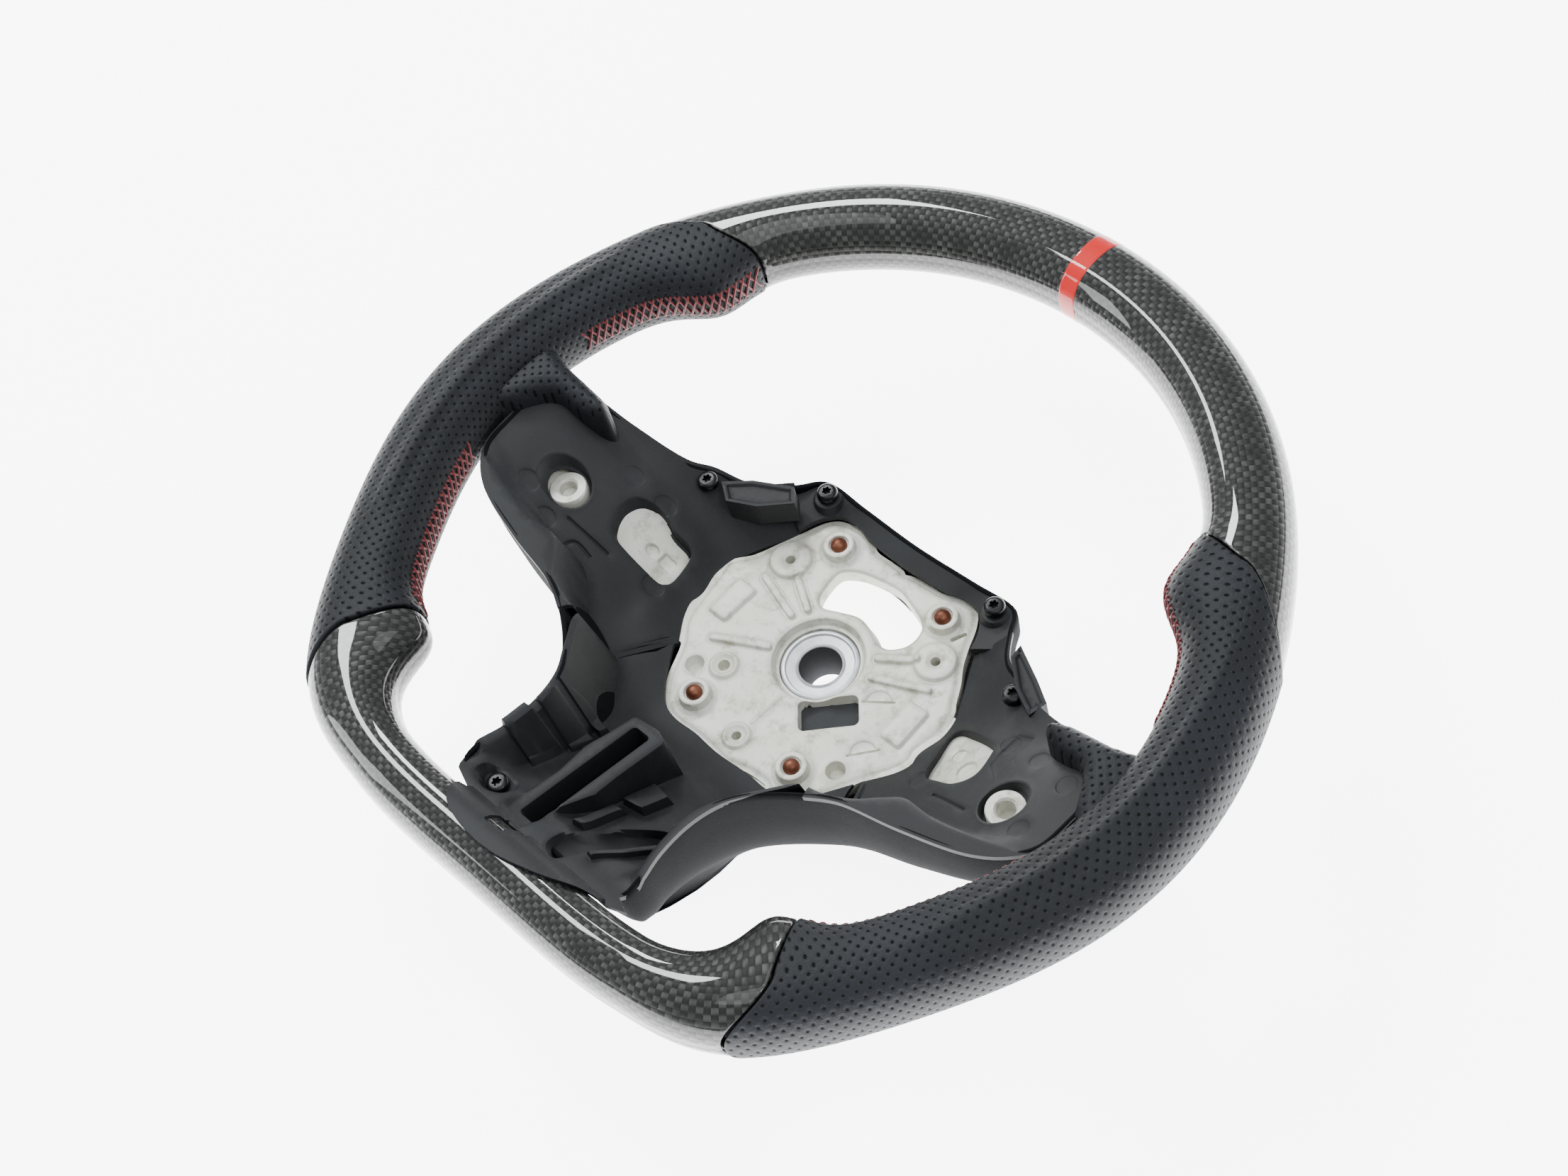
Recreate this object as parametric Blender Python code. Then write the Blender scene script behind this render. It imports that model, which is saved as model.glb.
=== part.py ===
"""Flat-bottomed sports steering wheel, stripped of its airbag and trims.

The steering axis runs along Z through (0, AXIS_Y), the driver is on the +Z side,
12 o'clock is +Y and 3 o'clock is +X. Lengths below are in millimetres.
"""

import math

import bmesh
import bpy
import numpy as np

MM = 0.001
GAP = 0.3  # clearance left between two pieces that touch on the real wheel

# Rim
RIM_RADIUS = 166.0  # centre of the grip section, round part
FLAT_Y = -143.3  # centre of the grip section, flat bottom
CORNER_SHARPNESS = 20.0  # exponent that rounds the two lower corners
RIM_Z = 81.9  # height of the rim's centre plane over the hub's rear face
RIM_WAVES = (4.3, -1.1, 1.7, 0.4, -1.4, 0.5)  # swing of the radius at 2, 3, 4... turns round the rim
RIM_HALF = 16.2  # half the width of the grip section
FLAT_NARROWING = 3.6  # how much less it is along the flat bottom
CORE_RADIUS = 6.5  # cast rim core
CARBON_WALL = 2.0
LEATHER_WALL = 1.6
LEATHER_RISE = 0.8  # how far leather stands over the carbon beside it
MARKER_HALF_WIDTH = 4.0
MARKER_DEPTH = 0.9

# Hub
PLATE_TOP = 26.0
PLATE_THICK = 7.0
BOSS_RADIUS = 23.0
INSERT_RADIUS = 16.5
INSERT_TOP = 22.0
BORE_RADIUS = 8.5
POST_RADIUS = 6.6
POST_TOP = 31.0
CONTACT_RADIUS = 3.4
SKIN_THICK = 3.0
COVER_WALL = 2.5
BELLY_INSET = 6.0  # how far the rear cover's lower edge lies inside its ridge

# The wheel is centred on its own footprint, so the steering axis is off the middle.
AXIS_Y = -13.0

# Posts, screws and bosses: (x, y) from the steering axis
POSTS = {"upper": (27.5, 41.7), "lower": (26.2, -41.2)}
HOLED_BOSS = (38.5, 26.0)
SMALL_BOSSES = ((-27.1, -24.7), (-1.3, -43.8))
BLIND_HOLE = (38.0, -31.2)
SCREWS = {"outer": (80.0, 25.6, 46.0), "inner": (44.0, 54.2, 35.0)}
LOWER_SCREW = (-28.5, -114.5, 71.0)
SPOKE_BOSS = (114.2, -15.0)
SLOT_BOX = (-13.4, -96.0, 52.0, 16.0)  # centre, length along Y and width of the lower spoke's frame
SLOT_WALL = 3.5
LUG_RADIUS = 5.8
LUG_DEPTH = 8.0
SLOT_SINK = 8.0  # how far the lower spoke's floor dips under a straight line

# Right half of the cast plate, from 12 o'clock down to 6 o'clock
PLATE_HALF = (
    (0.0, 49.7),
    (20.0, 51.2),
    (33.9, 52.3),
    (42.9, 42.4),
    (54.8, 22.8),
    (58.7, 6.4),
    (57.1, -12.1),
    (47.6, -30.5),
    (37.6, -47.9),
    (19.8, -51.4),
    (0.0, -50.4),
)

# Right half of the ridge where the plastics meet at the edge of the windows: (x, y, z)
RIDGE_HALF = (
    (0.0, 58.5, 34.0),
    (28.0, 59.5, 34.0),
    (49.0, 60.0, 34.0),
    (57.5, 49.5, 37.0),
    (67.5, 37.5, 42.0),
    (82.0, 32.0, 47.0),
    (92.0, 26.0, 52.0),
    (111.5, 21.0, 63.0),
    (132.5, 16.0, 77.0),
    (143.0, 4.0, 82.0),
    (144.0, -13.0, 82.0),
    (141.0, -29.0, 82.0),
    (126.0, -42.0, 82.0),
    (100.0, -50.0, 81.0),
    (76.5, -55.0, 80.0),
    (64.0, -61.0, 78.5),
    (51.0, -71.0, 78.5),
    (43.5, -81.0, 79.0),
    (40.5, -94.0, 80.0),
    (41.0, -108.5, 81.0),
    (44.0, -120.5, 82.0),
    (41.0, -129.0, 82.5),
    (20.0, -131.5, 82.5),
    (0.0, -131.5, 82.5),
)

COLOURS = {
    "magnesium": ((0.60, 0.60, 0.56, 1), 0.5, 0.6),
    "steel": ((0.52, 0.53, 0.56, 1), 0.35, 1.0),
    "copper": ((0.42, 0.17, 0.10, 1), 0.35, 1.0),
    "foam": ((0.05, 0.05, 0.055, 1), 0.9, 0.0),
    "carbon": ((0.03, 0.032, 0.03, 1), 0.12, 0.0),
    "marker": ((0.80, 0.03, 0.02, 1), 0.2, 0.0),
    "leather": ((0.035, 0.038, 0.043, 1), 0.6, 0.0),
    "thread": ((0.55, 0.02, 0.04, 1), 0.7, 0.0),
    "plastic": ((0.03, 0.031, 0.034, 1), 0.65, 0.0),
    "screw": ((0.015, 0.015, 0.016, 1), 0.3, 0.8),
}


def smooth(value, start, end):
    """0 before start, 1 after end, with level ends."""
    t = min(1.0, max(0.0, (value - start) / (end - start)))
    return t * t * (3 - 2 * t)


def hump(value, middle, width):
    return math.exp(-(((value - middle) / width) ** 2))


def mirrored(points):
    """The same outline on the other side of X = 0."""
    return [(-p[0], *p[1:]) for p in points]


# Meshes are built as (vertices, faces) pairs, about the steering axis and in millimetres.
def prism(outline, bottom, top):
    """An upright solid. Each end is a height, or a function of (x, y) where it slopes."""
    count = len(outline)
    vertices = []
    for end in (bottom, top):
        vertices += [(x, y, end(x, y) if callable(end) else end) for x, y in outline]
    faces = [tuple(range(count))[::-1], tuple(range(count, 2 * count))]
    for i in range(count):
        j = (i + 1) % count
        faces.append((i, j, count + j, count + i))
    return vertices, faces


def circle(x, y, radius, sides=24, turn=0.0):
    angles = [math.radians(turn + 360 * i / sides) for i in range(sides)]
    return [(x + radius * math.cos(a), y + radius * math.sin(a)) for a in angles]


def rectangle(x, y, length, width, turn=0.0):
    """A box outline, its length at the angle turn from X."""
    c, s = math.cos(math.radians(turn)), math.sin(math.radians(turn))
    corners = ((1, 1), (-1, 1), (-1, -1), (1, -1))
    halves = [(length / 2 * a, width / 2 * b) for a, b in corners]
    return [(x + u * c - v * s, y + u * s + v * c) for u, v in halves]


def disc(x, y, radius, bottom, top, sides=16):
    return prism(circle(x, y, radius, sides), bottom, top)


def loops(rings, closed=False):
    """A skin through rings of equal length. Open ends are capped; closed joins the last ring to the first."""
    count = len(rings[0])
    vertices = [point for ring in rings for point in ring]
    faces = []
    for k in range(len(rings) if closed else len(rings) - 1):
        low, high = k * count, (k + 1) % len(rings) * count
        for i in range(count):
            j = (i + 1) % count
            faces.append((low + i, low + j, high + j, high + i))
    if not closed:
        faces.append(tuple(range(count))[::-1])
        faces.append(tuple(range(len(vertices) - count, len(vertices))))
    return vertices, faces


def joined(*solids):
    vertices, faces = [], []
    for more_vertices, more_faces in solids:
        base = len(vertices)
        vertices += more_vertices
        faces += [tuple(base + i for i in face) for face in more_faces]
    return vertices, faces


def material_of(name):
    material = bpy.data.materials.get(name)
    if material:
        return material
    colour, roughness, metallic = COLOURS[name]
    material = bpy.data.materials.new(name)
    material.use_nodes = True
    shader = material.node_tree.nodes["Principled BSDF"]
    shader.inputs["Base Color"].default_value = colour
    shader.inputs["Roughness"].default_value = roughness
    shader.inputs["Metallic"].default_value = metallic
    material.diffuse_color = colour
    return material


def add_object(name, solid, material=None):
    """Makes one closed object with its faces turned outwards. Without a material it is a hidden tool."""
    vertices, faces = solid
    mesh = bpy.data.meshes.new(name)
    mesh.from_pydata([tuple(c * MM for c in v) for v in vertices], [], faces)
    work = bmesh.new()
    work.from_mesh(mesh)
    bmesh.ops.remove_doubles(work, verts=work.verts, dist=0.01 * MM)
    bmesh.ops.recalc_face_normals(work, faces=work.faces)
    work.to_mesh(mesh)
    work.free()
    thing = bpy.data.objects.new(name, mesh)
    bpy.context.scene.collection.objects.link(thing)
    thing.location = (0, AXIS_Y * MM, 0)
    if material:
        mesh.materials.append(material_of(material))
    else:
        thing.hide_render = True
        thing.display_type = "WIRE"
    return thing


def shade_round(thing, angle=35.0):
    for polygon in thing.data.polygons:
        polygon.use_smooth = True
    thing.data.set_sharp_from_angle(angle=math.radians(angle))


def combine(thing, solid, operation):
    """Adds or cuts a solid with an exact Boolean."""
    tool = add_object(f"tool_{thing.name}_{len(thing.modifiers)}", solid)
    modifier = thing.modifiers.new(operation.title(), "BOOLEAN")
    modifier.operation = operation
    modifier.solver = "EXACT"
    modifier.object = tool


# Rim sections. The angle a is in degrees from 12 o'clock, positive towards 3 o'clock.
def centre_point(a):
    sine, cosine = math.sin(math.radians(a)), math.cos(math.radians(a))
    radius = RIM_RADIUS
    if cosine < -0.3:
        flat = FLAT_Y / cosine
        n = CORNER_SHARPNESS
        radius = (RIM_RADIUS**-n + flat**-n) ** (-1 / n)
    for k, swing in enumerate(RIM_WAVES):
        radius += swing * math.cos(math.radians((k + 2) * a))
    return np.array((radius * sine, radius * cosine))


def outward(a):
    step = centre_point(a + 0.2) - centre_point(a - 0.2)
    side = np.array((-step[1], step[0]))
    return side / np.linalg.norm(side)


def fold(a):
    """The same place on the right half: 0 at 12 o'clock, 180 at 6 o'clock."""
    return abs((a + 180) % 360 - 180)


def half_sizes(a):
    """(inner, outer, front, back) distances from the section's centre to its surface."""
    a = fold(a)
    flat = smooth(a, 142, 156)
    thumb = 10.9 * hump(a, 56.5, 6.5)
    lower_thumb = 12.1 * hump(a, 136.5, 6.0)
    inner = RIM_HALF - FLAT_NARROWING * flat + thumb + lower_thumb
    outer = RIM_HALF - FLAT_NARROWING * flat
    front = 16.0 - 1.5 * flat + 1.5 * hump(a, 58, 9)
    back = 16.0 - 1.0 * flat
    return inner, outer, front, back


def rim_point(a, around, inset):
    """A point of the rim's surface. around is 0 on the outer side, 90 in front and 180 inside."""
    inner, outer, front, back = half_sizes(a)
    c, s = math.cos(math.radians(around)), math.sin(math.radians(around))
    across = ((outer if c > 0 else inner) - inset) * c
    height = ((front if s > 0 else back) - inset) * s
    x, y = centre_point(a) + outward(a) * across
    return x, y, RIM_Z + height


def core_point(a, around, radius):
    c, s = math.cos(math.radians(around)), math.sin(math.radians(around))
    x, y = centre_point(a) + outward(a) * radius * c
    return x, y, RIM_Z + radius * s


def slab(outer, inner, wrap):
    """A closed wall between two equal grids of points, [row][place]. wrap joins each row's ends."""
    rows, count = len(outer), len(outer[0])
    vertices = [v for grid in (outer, inner) for row in grid for v in row]
    base = rows * count
    faces = []
    for k in range(rows - 1):
        for i in range(count if wrap else count - 1):
            j = (i + 1) % count
            a, b, c, d = k * count + i, k * count + j, (k + 1) * count + j, (k + 1) * count + i
            faces += [(a, b, c, d), (base + d, base + c, base + b, base + a)]
    for k in (0, rows - 1):
        for i in range(count if wrap else count - 1):
            a, b = k * count + i, k * count + (i + 1) % count
            faces.append((a, b, base + b, base + a))
    if not wrap:
        for i in (0, count - 1):
            for k in range(rows - 1):
                a, b = k * count + i, (k + 1) * count + i
                faces.append((a, b, base + b, base + a))
    return vertices, faces


def rim_shell(start, end, steps, around, outside, inside):
    """A length of the rim between two surfaces. start and end give the angle for each place around.

    outside and inside take (angle, around) and give a point.
    """
    whole = around[-1] - around[0] >= 359.9
    places = around[:-1] if whole else around
    outer, inner = [], []
    for k in range(steps + 1):
        at = [start(p) + (end(p) - start(p)) * k / steps for p in places]
        outer.append([outside(a, p) for a, p in zip(at, places)])
        inner.append([inside(a, p) for a, p in zip(at, places)])
    return slab(outer, inner, whole)


def spread(first, last, count):
    return [first + (last - first) * i / count for i in range(count + 1)]


def upper_seam(around):
    """Where leather meets the top carbon: the edge runs slanting across the rim."""
    return 48.5 + 17.0 * ((1 + math.cos(math.radians(around))) / 2) ** 1.5


def lower_seam(around):
    return 133.0 + 10.0 * ((1 + math.cos(math.radians(around))) / 2) ** 1.3


SLIP = 0.2  # degrees of rim kept free at each side of a joint

# Plate and arms of the casting
plate_outline = list(PLATE_HALF) + mirrored(PLATE_HALF[1:-1])[::-1]


def arm(stations):
    """A cast arm through (centre x, centre y, top z, width, depth, direction) stations."""
    rings = []
    for x, y, top, width, depth, turn in stations:
        c, s = math.cos(math.radians(turn)), math.sin(math.radians(turn))
        ends = ((x - s * width / 2, y + c * width / 2), (x + s * width / 2, y - c * width / 2))
        (ax, ay), (bx, by) = ends
        rings.append([(ax, ay, top), (bx, by, top), (bx, by, top - depth), (ax, ay, top - depth)])
    return loops(rings)


SIDE_ARM = (
    (46.0, -6.0, 24.5, 42.0, 5.5, 0),
    (66.0, -8.0, 24.5, 42.0, 7.0, 0),
    (96.0, -12.0, 42.0, 36.0, 7.0, 0),
    (130.0, -13.0, 64.0, 28.0, 7.0, 0),
    (143.0, -13.0, 76.0, 24.0, 7.0, 0),
    (151.0, -13.0, 83.9, 24.0, 7.0, 0),
    (163.0, -13.0, 85.4, 24.0, 7.0, 0),
)
LOWER_ARM = (
    (7.0, -46.0, 24.5, 32.0, 5.5, -90),
    (7.0, -60.0, 23.0, 30.0, 7.0, -90),
    (7.0, -88.0, 38.0, 26.0, 7.0, -90),
    (7.0, -114.0, 54.0, 24.0, 7.0, -90),
    (7.0, -127.0, 66.0, 22.0, 7.0, -90),
    (7.0, -136.5, 83.9, 22.0, 7.0, -90),
    (7.0, -148.0, 85.4, 22.0, 7.0, -90),
)


def flipped(stations):
    return tuple((-x, y, top, width, depth, 180 - turn) for x, y, top, width, depth, turn in stations)


def rim_core():
    rings = []
    for k in range(72):
        rings.append([core_point(5.0 * k, around, CORE_RADIUS) for around in spread(0, 315, 7)])
    return loops(rings, closed=True)


def hub_window(margin):
    """Outline of the large window above the bore."""
    half = [(24.5, 25.0), (19.5, 38.5), (12.0, 42.0)]
    half = [(x + margin, y + margin * (1 if y > 30 else -1)) for x, y in half]
    low = BOSS_RADIUS + 1.5 - margin
    arc = [(low * math.sin(math.radians(a)), low * math.cos(math.radians(a))) for a in (-48, -24, 0, 24, 48)]
    return arc + half + mirrored(half)[::-1]


def build_armature():
    """The one-piece magnesium casting: plate, posts, three arms and the core of the rim."""
    plate = prism(plate_outline, PLATE_TOP - PLATE_THICK, PLATE_TOP)
    armature = add_object("armature_casting", plate, "magnesium")
    combine(armature, disc(0, 0, BOSS_RADIUS, 1.5, PLATE_TOP - 1.0, 32), "UNION")
    for side in (-1, 1):
        combine(armature, arm(SIDE_ARM if side > 0 else flipped(SIDE_ARM)), "UNION")
    combine(armature, arm(LOWER_ARM), "UNION")
    combine(armature, rim_core(), "UNION")
    raised = []
    low = PLATE_TOP - 2.0
    for side in (-1, 1):
        for x, y in POSTS.values():
            raised.append(disc(side * x, y, POST_RADIUS, low, POST_TOP - 1.2))
        raised.append(disc(side * HOLED_BOSS[0], HOLED_BOSS[1], 9.0, low, PLATE_TOP + 1.4, 20))
        raised.append(disc(side * SPOKE_BOSS[0], SPOKE_BOSS[1], 8.5, 46.0, 61.0, 20))
    for x, y in SMALL_BOSSES:
        raised.append(disc(x, y, 6.5, low, PLATE_TOP + 1.0))
    combine(armature, joined(*raised), "UNION")
    cuts = [
        prism(hub_window(0.0), 0.0, 60.0),
        prism(rectangle(19.5, -15.0, 21, 11.5, 47), 12.0, 60.0),
    ]
    combine(armature, joined(*cuts), "DIFFERENCE")
    holes = [disc(0, 0, INSERT_RADIUS + GAP, 0.0, 60.0, 32)]
    for side in (-1, 1):
        for x, y in POSTS.values():
            holes.append(disc(side * x, y, CONTACT_RADIUS + GAP, POST_TOP - 7.0, 60.0, 16))
        holes.append(disc(side * HOLED_BOSS[0], HOLED_BOSS[1], 2.2, 0.0, 60.0, 16))
        holes.append(disc(side * BLIND_HOLE[0], BLIND_HOLE[1], 4.0, PLATE_TOP - 4.0, 60.0, 16))
        holes.append(disc(side * SPOKE_BOSS[0], SPOKE_BOSS[1], 3.4, 20.0, 90.0, 16))
    combine(armature, joined(*holes), "DIFFERENCE")
    shade_round(armature)


def build_hub_insert():
    """Steel hub that takes the column, cast into the plate."""
    ring = [
        circle(0, 0, BORE_RADIUS, 32),
        circle(0, 0, INSERT_RADIUS, 32),
    ]
    corners = ((1, 0.0), (1, INSERT_TOP), (0, INSERT_TOP), (0, 0.0))
    rings = [[(x, y, z) for x, y in ring[which]] for which, z in corners]
    insert = add_object("hub_insert", loops(rings, closed=True), "steel")
    shade_round(insert)


def build_contacts():
    """Copper-alloy contact pins pressed into the four posts."""
    for height, (x, y) in POSTS.items():
        for side, word in ((-1, "left"), (1, "right")):
            profile = ((CONTACT_RADIUS, -6.0), (CONTACT_RADIUS, 0.0), (2.8, 1.2), (1.5, 2.0))
            rings = [
                [(px, py, POST_TOP - 1.0 + z) for px, py in circle(side * x, y, radius, 16)]
                for radius, z in profile
            ]
            contact = add_object(f"horn_contact_{height}_{word}", loops(rings), "copper")
            shade_round(contact)


def build_foam():
    """Polyurethane grip foam round the core, in four lengths."""
    around = spread(0, 360, 10)
    lengths = {
        "grip_foam_top": (-52.0, 52.0, 14),
        "grip_foam_right": (52.0, 138.0, 12),
        "grip_foam_bottom": (138.0, 222.0, 14),
        "grip_foam_left": (222.0, 308.0, 12),
    }
    for name, (first, last, steps) in lengths.items():
        foam = rim_shell(
            lambda p, first=first: first + SLIP,
            lambda p, last=last: last - SLIP,
            steps,
            around,
            lambda a, p: rim_point(a, p, CARBON_WALL + 2.0 + GAP),
            lambda a, p: core_point(a, p, CORE_RADIUS + 1.6),
        )
        thing = add_object(name, foam, "foam")
        cut_arm_slots(thing)
        shade_round(thing)


def cut_arm_slots(thing, first=-3):
    """Leaves room for the three arms, from their station number first to the rim's core."""
    slots = []
    for stations in (SIDE_ARM, flipped(SIDE_ARM), LOWER_ARM):
        grown = [
            (x, y, top + GAP, width + 2 * GAP, depth + 2 * GAP, turn)
            for x, y, top, width, depth, turn in stations[first:]
        ]
        slots.append(arm(grown))
    combine(thing, joined(*slots), "DIFFERENCE")


def carbon_halves(name, start, end, steps):
    halves = {"front": spread(0.6, 179.4, 8), "rear": spread(180.6, 359.4, 8)}
    for word, around in halves.items():
        shell = rim_shell(
            start,
            end,
            steps,
            around,
            lambda a, p: rim_point(a, p, 0.0),
            lambda a, p: rim_point(a, p, CARBON_WALL),
        )
        thing = add_object(f"{name}_{word}", shell, "carbon")
        shade_round(thing)


def build_carbon():
    """Clear-coated carbon shells, each a front and a rear half that meet on a seam."""
    carbon_halves(
        "carbon_top",
        lambda p: -upper_seam(p) + SLIP,
        lambda p: upper_seam(p) - SLIP,
        20,
    )
    carbon_halves(
        "carbon_bottom",
        lambda p: lower_seam(p) + SLIP,
        lambda p: 360 - lower_seam(p) - SLIP,
        20,
    )
    groove_marker()
    for word in ("front", "rear"):
        cut_arm_slots(bpy.data.objects[f"carbon_bottom_{word}"])


def marker_band(outside, inside, half_width):
    half = math.degrees(half_width / RIM_RADIUS)
    return rim_shell(
        lambda p: -half,
        lambda p: half,
        2,
        spread(0, 360, 16),
        lambda a, p: rim_point(a, p, outside),
        lambda a, p: rim_point(a, p, inside),
    )


def groove_marker():
    """The band lies flush in a shallow groove of both top shells."""
    for word in ("front", "rear"):
        shell = bpy.data.objects[f"carbon_top_{word}"]
        cutter = marker_band(-2.0, MARKER_DEPTH, MARKER_HALF_WIDTH + 0.1)
        combine(shell, cutter, "DIFFERENCE")
    band = add_object("centre_marker", marker_band(0.0, MARKER_DEPTH - 0.1, MARKER_HALF_WIDTH), "marker")
    shade_round(band)


def build_leather():
    """Perforated leather over the two grips."""
    for side, word in ((1, "right"), (-1, "left")):
        shell = rim_shell(
            lambda p, side=side: side * (upper_seam(p) + SLIP),
            lambda p, side=side: side * (lower_seam(p) - SLIP),
            17,
            spread(0, 360, 16),
            lambda a, p: rim_point(a, p, -LEATHER_RISE),
            lambda a, p: rim_point(a, p, LEATHER_WALL),
        )
        thing = add_object(f"leather_grip_{word}", shell, "leather")
        cut_arm_slots(thing)
        shade_round(thing)


def build_stitching():
    """Thread seam along the inner side of each grip, in one length above the spoke and one below."""
    lengths = {"upper": (50.0, 76.0, 14), "lower": (106.0, 131.0, 12)}
    for side, word in ((1, "right"), (-1, "left")):
        for place, (first, last, steps) in lengths.items():
            seam = rim_shell(
                lambda p, side=side, first=first: side * first,
                lambda p, side=side, last=last: side * last,
                steps,
                spread(168, 192, 2),
                lambda a, p: rim_point(a, p, -LEATHER_RISE - 1.7),
                lambda a, p: rim_point(a, p, -LEATHER_RISE - 0.9),
            )
            thing = add_object(f"stitching_{word}_{place}", seam, "thread")
            shade_round(thing)


def build_thumb_rests():
    """Leather-covered lips that overhang the top of each side spoke."""
    outline = [
        (144.0, 29.0),
        (138.0, 25.5),
        (127.0, 24.5),
        (117.0, 23.5),
        (114.5, 19.5),
        (117.0, 14.0),
        (127.0, 11.0),
        (135.0, 5.0),
        (139.0, -6.0),
        (144.0, -6.0),
    ]
    for side, word in ((1, "right"), (-1, "left")):
        points = outline if side > 0 else mirrored(outline)
        lip = add_object(f"thumb_rest_{word}", prism(points, 83.4, 93.9), "leather")
        modifier = lip.modifiers.new("Bevel", "BEVEL")
        modifier.width = 2.0 * MM
        modifier.segments = 2
        modifier.limit_method = "ANGLE"


def resampled(points, count):
    """The same line with this many evenly spaced points."""
    points = np.array(points, float)
    lengths = np.linalg.norm(np.diff(points, axis=0), axis=1)
    along = np.concatenate(([0.0], np.cumsum(lengths)))
    at = np.linspace(0, along[-1], count)
    return np.stack([np.interp(at, along, points[:, k]) for k in range(points.shape[1])], axis=1)


def patch(inner, outer, steps, thickness, swell=2.5):
    """A sloping skin between an inner and an outer edge line. swell lifts its middle."""
    outer = np.array(outer)
    inner = resampled(inner, len(outer))
    above = []
    for k in range(steps + 1):
        t = k / steps
        line = inner * (1 - t) + outer * t
        line[:, 2] += swell * math.sin(math.pi * t)
        above.append(line)
    below = [line - (0, 0, thickness) for line in above]
    return slab([[tuple(p) for p in row] for row in above], [[tuple(p) for p in row] for row in below], False)


def ridge_inset(index, extra=0.0):
    """A ridge point moved inwards, so that a skin clears the wall of the rear cover."""
    x, y, z = RIDGE_HALF[index]
    before = RIDGE_HALF[max(index - 1, 0)]
    after = RIDGE_HALF[min(index + 1, len(RIDGE_HALF) - 1)]
    along = np.array((after[0] - before[0], after[1] - before[1]))
    along /= np.linalg.norm(along)
    inward = np.array((along[1], -along[0])) * (COVER_WALL + 3 * GAP + extra)
    return x + inward[0], y + inward[1], z


def plate_edge(points, height=29.0):
    return [(x, y, height) for x, y in points]


def slot_height(x, y):
    """Height of the slot frame's sloping top, which falls from the rim towards the hub."""
    return RIM_Z - 2.5 - 0.45 * (y + 122.0)


def slot_base(x, y):
    return slot_height(x, y) - 13.0 - 0.2 * (y + 122.0)


def add_lug(skin, x, y, z):
    """A boss whose top carries a screw head, with the screw's clearance hole through it."""
    combine(skin, disc(x, y, LUG_RADIUS, z - LUG_DEPTH, z), "UNION")
    profile = ((1.6 + GAP, -30.0), (1.6 + GAP, 0.05), (4.6, 0.05), (4.6, 40.0))
    hole = [[(px, py, z + up) for px, py in circle(x, y, radius, 16)] for radius, up in profile]
    combine(skin, loops(hole), "DIFFERENCE")


def build_skins():
    """Moulded foam skins that cover the arms between the plate and the rim."""
    right_inner = plate_edge(((47.5, 36.5), (57.0, 22.5), (61.0, 6.0), (59.5, -13.0), (52.0, -27.5)))
    right_outer = [ridge_inset(i) for i in range(4, 15)]
    for side, word in ((1, "right"), (-1, "left")):
        inner = right_inner if side > 0 else mirrored(right_inner)
        outer = right_outer if side > 0 else mirrored(right_outer)
        skin = add_object(f"spoke_skin_{word}", patch(inner, outer, 6, SKIN_THICK), "plastic")
        x, y = side * SPOKE_BOSS[0], SPOKE_BOSS[1]
        combine(skin, disc(x, y, 13.0, 20.0, 95.0), "DIFFERENCE")
        slot = rectangle(side * 81.0, -4.5, 24.0, 17.0, -side * 18)
        combine(skin, prism(slot, 10.0, 90.0), "DIFFERENCE")
        x, y, z = SCREWS["outer"]
        add_lug(skin, side * x, y, z)
    lower_inner = plate_edge(((51.0, -30.0), (41.0, -50.5), (20.0, -54.5), (0.0, -53.5)))
    lower_inner += mirrored(lower_inner[:-1])[::-1]
    lower_outer = [ridge_inset(i, 1.0) for i in range(15, len(RIDGE_HALF))]
    lower_outer += mirrored(lower_outer[:-1])[::-1]
    lower = patch(lower_inner, lower_outer, 6, SKIN_THICK, -SLOT_SINK)
    lower = add_object("spoke_skin_lower", lower, "plastic")
    x, y, length, width = SLOT_BOX
    wall = 2 * SLOT_WALL
    box = prism(rectangle(x, y, length, width, 90), slot_base, slot_height)
    combine(lower, box, "UNION")
    slot = prism(rectangle(x, y, length - wall, width - wall, 90), 0.0, 95.0)
    combine(lower, slot, "DIFFERENCE")
    add_lug(lower, *LOWER_SCREW)
    top_inner = plate_edge(((45.0, 43.5), (36.5, 53.5), (20.0, 53.0), (0.0, 51.5)), 31.0)
    top_inner += mirrored(top_inner[:-1])[::-1]
    top_outer = [ridge_inset(i) for i in (3, 2, 1, 0)]
    top_outer += mirrored(top_outer[:-1])[::-1]
    strip = add_object("hub_top_strip", patch(top_inner, top_outer, 2, SKIN_THICK), "plastic")
    x, y, z = SCREWS["inner"]
    for side in (-1, 1):
        add_lug(strip, side * x, y, z)


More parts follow.
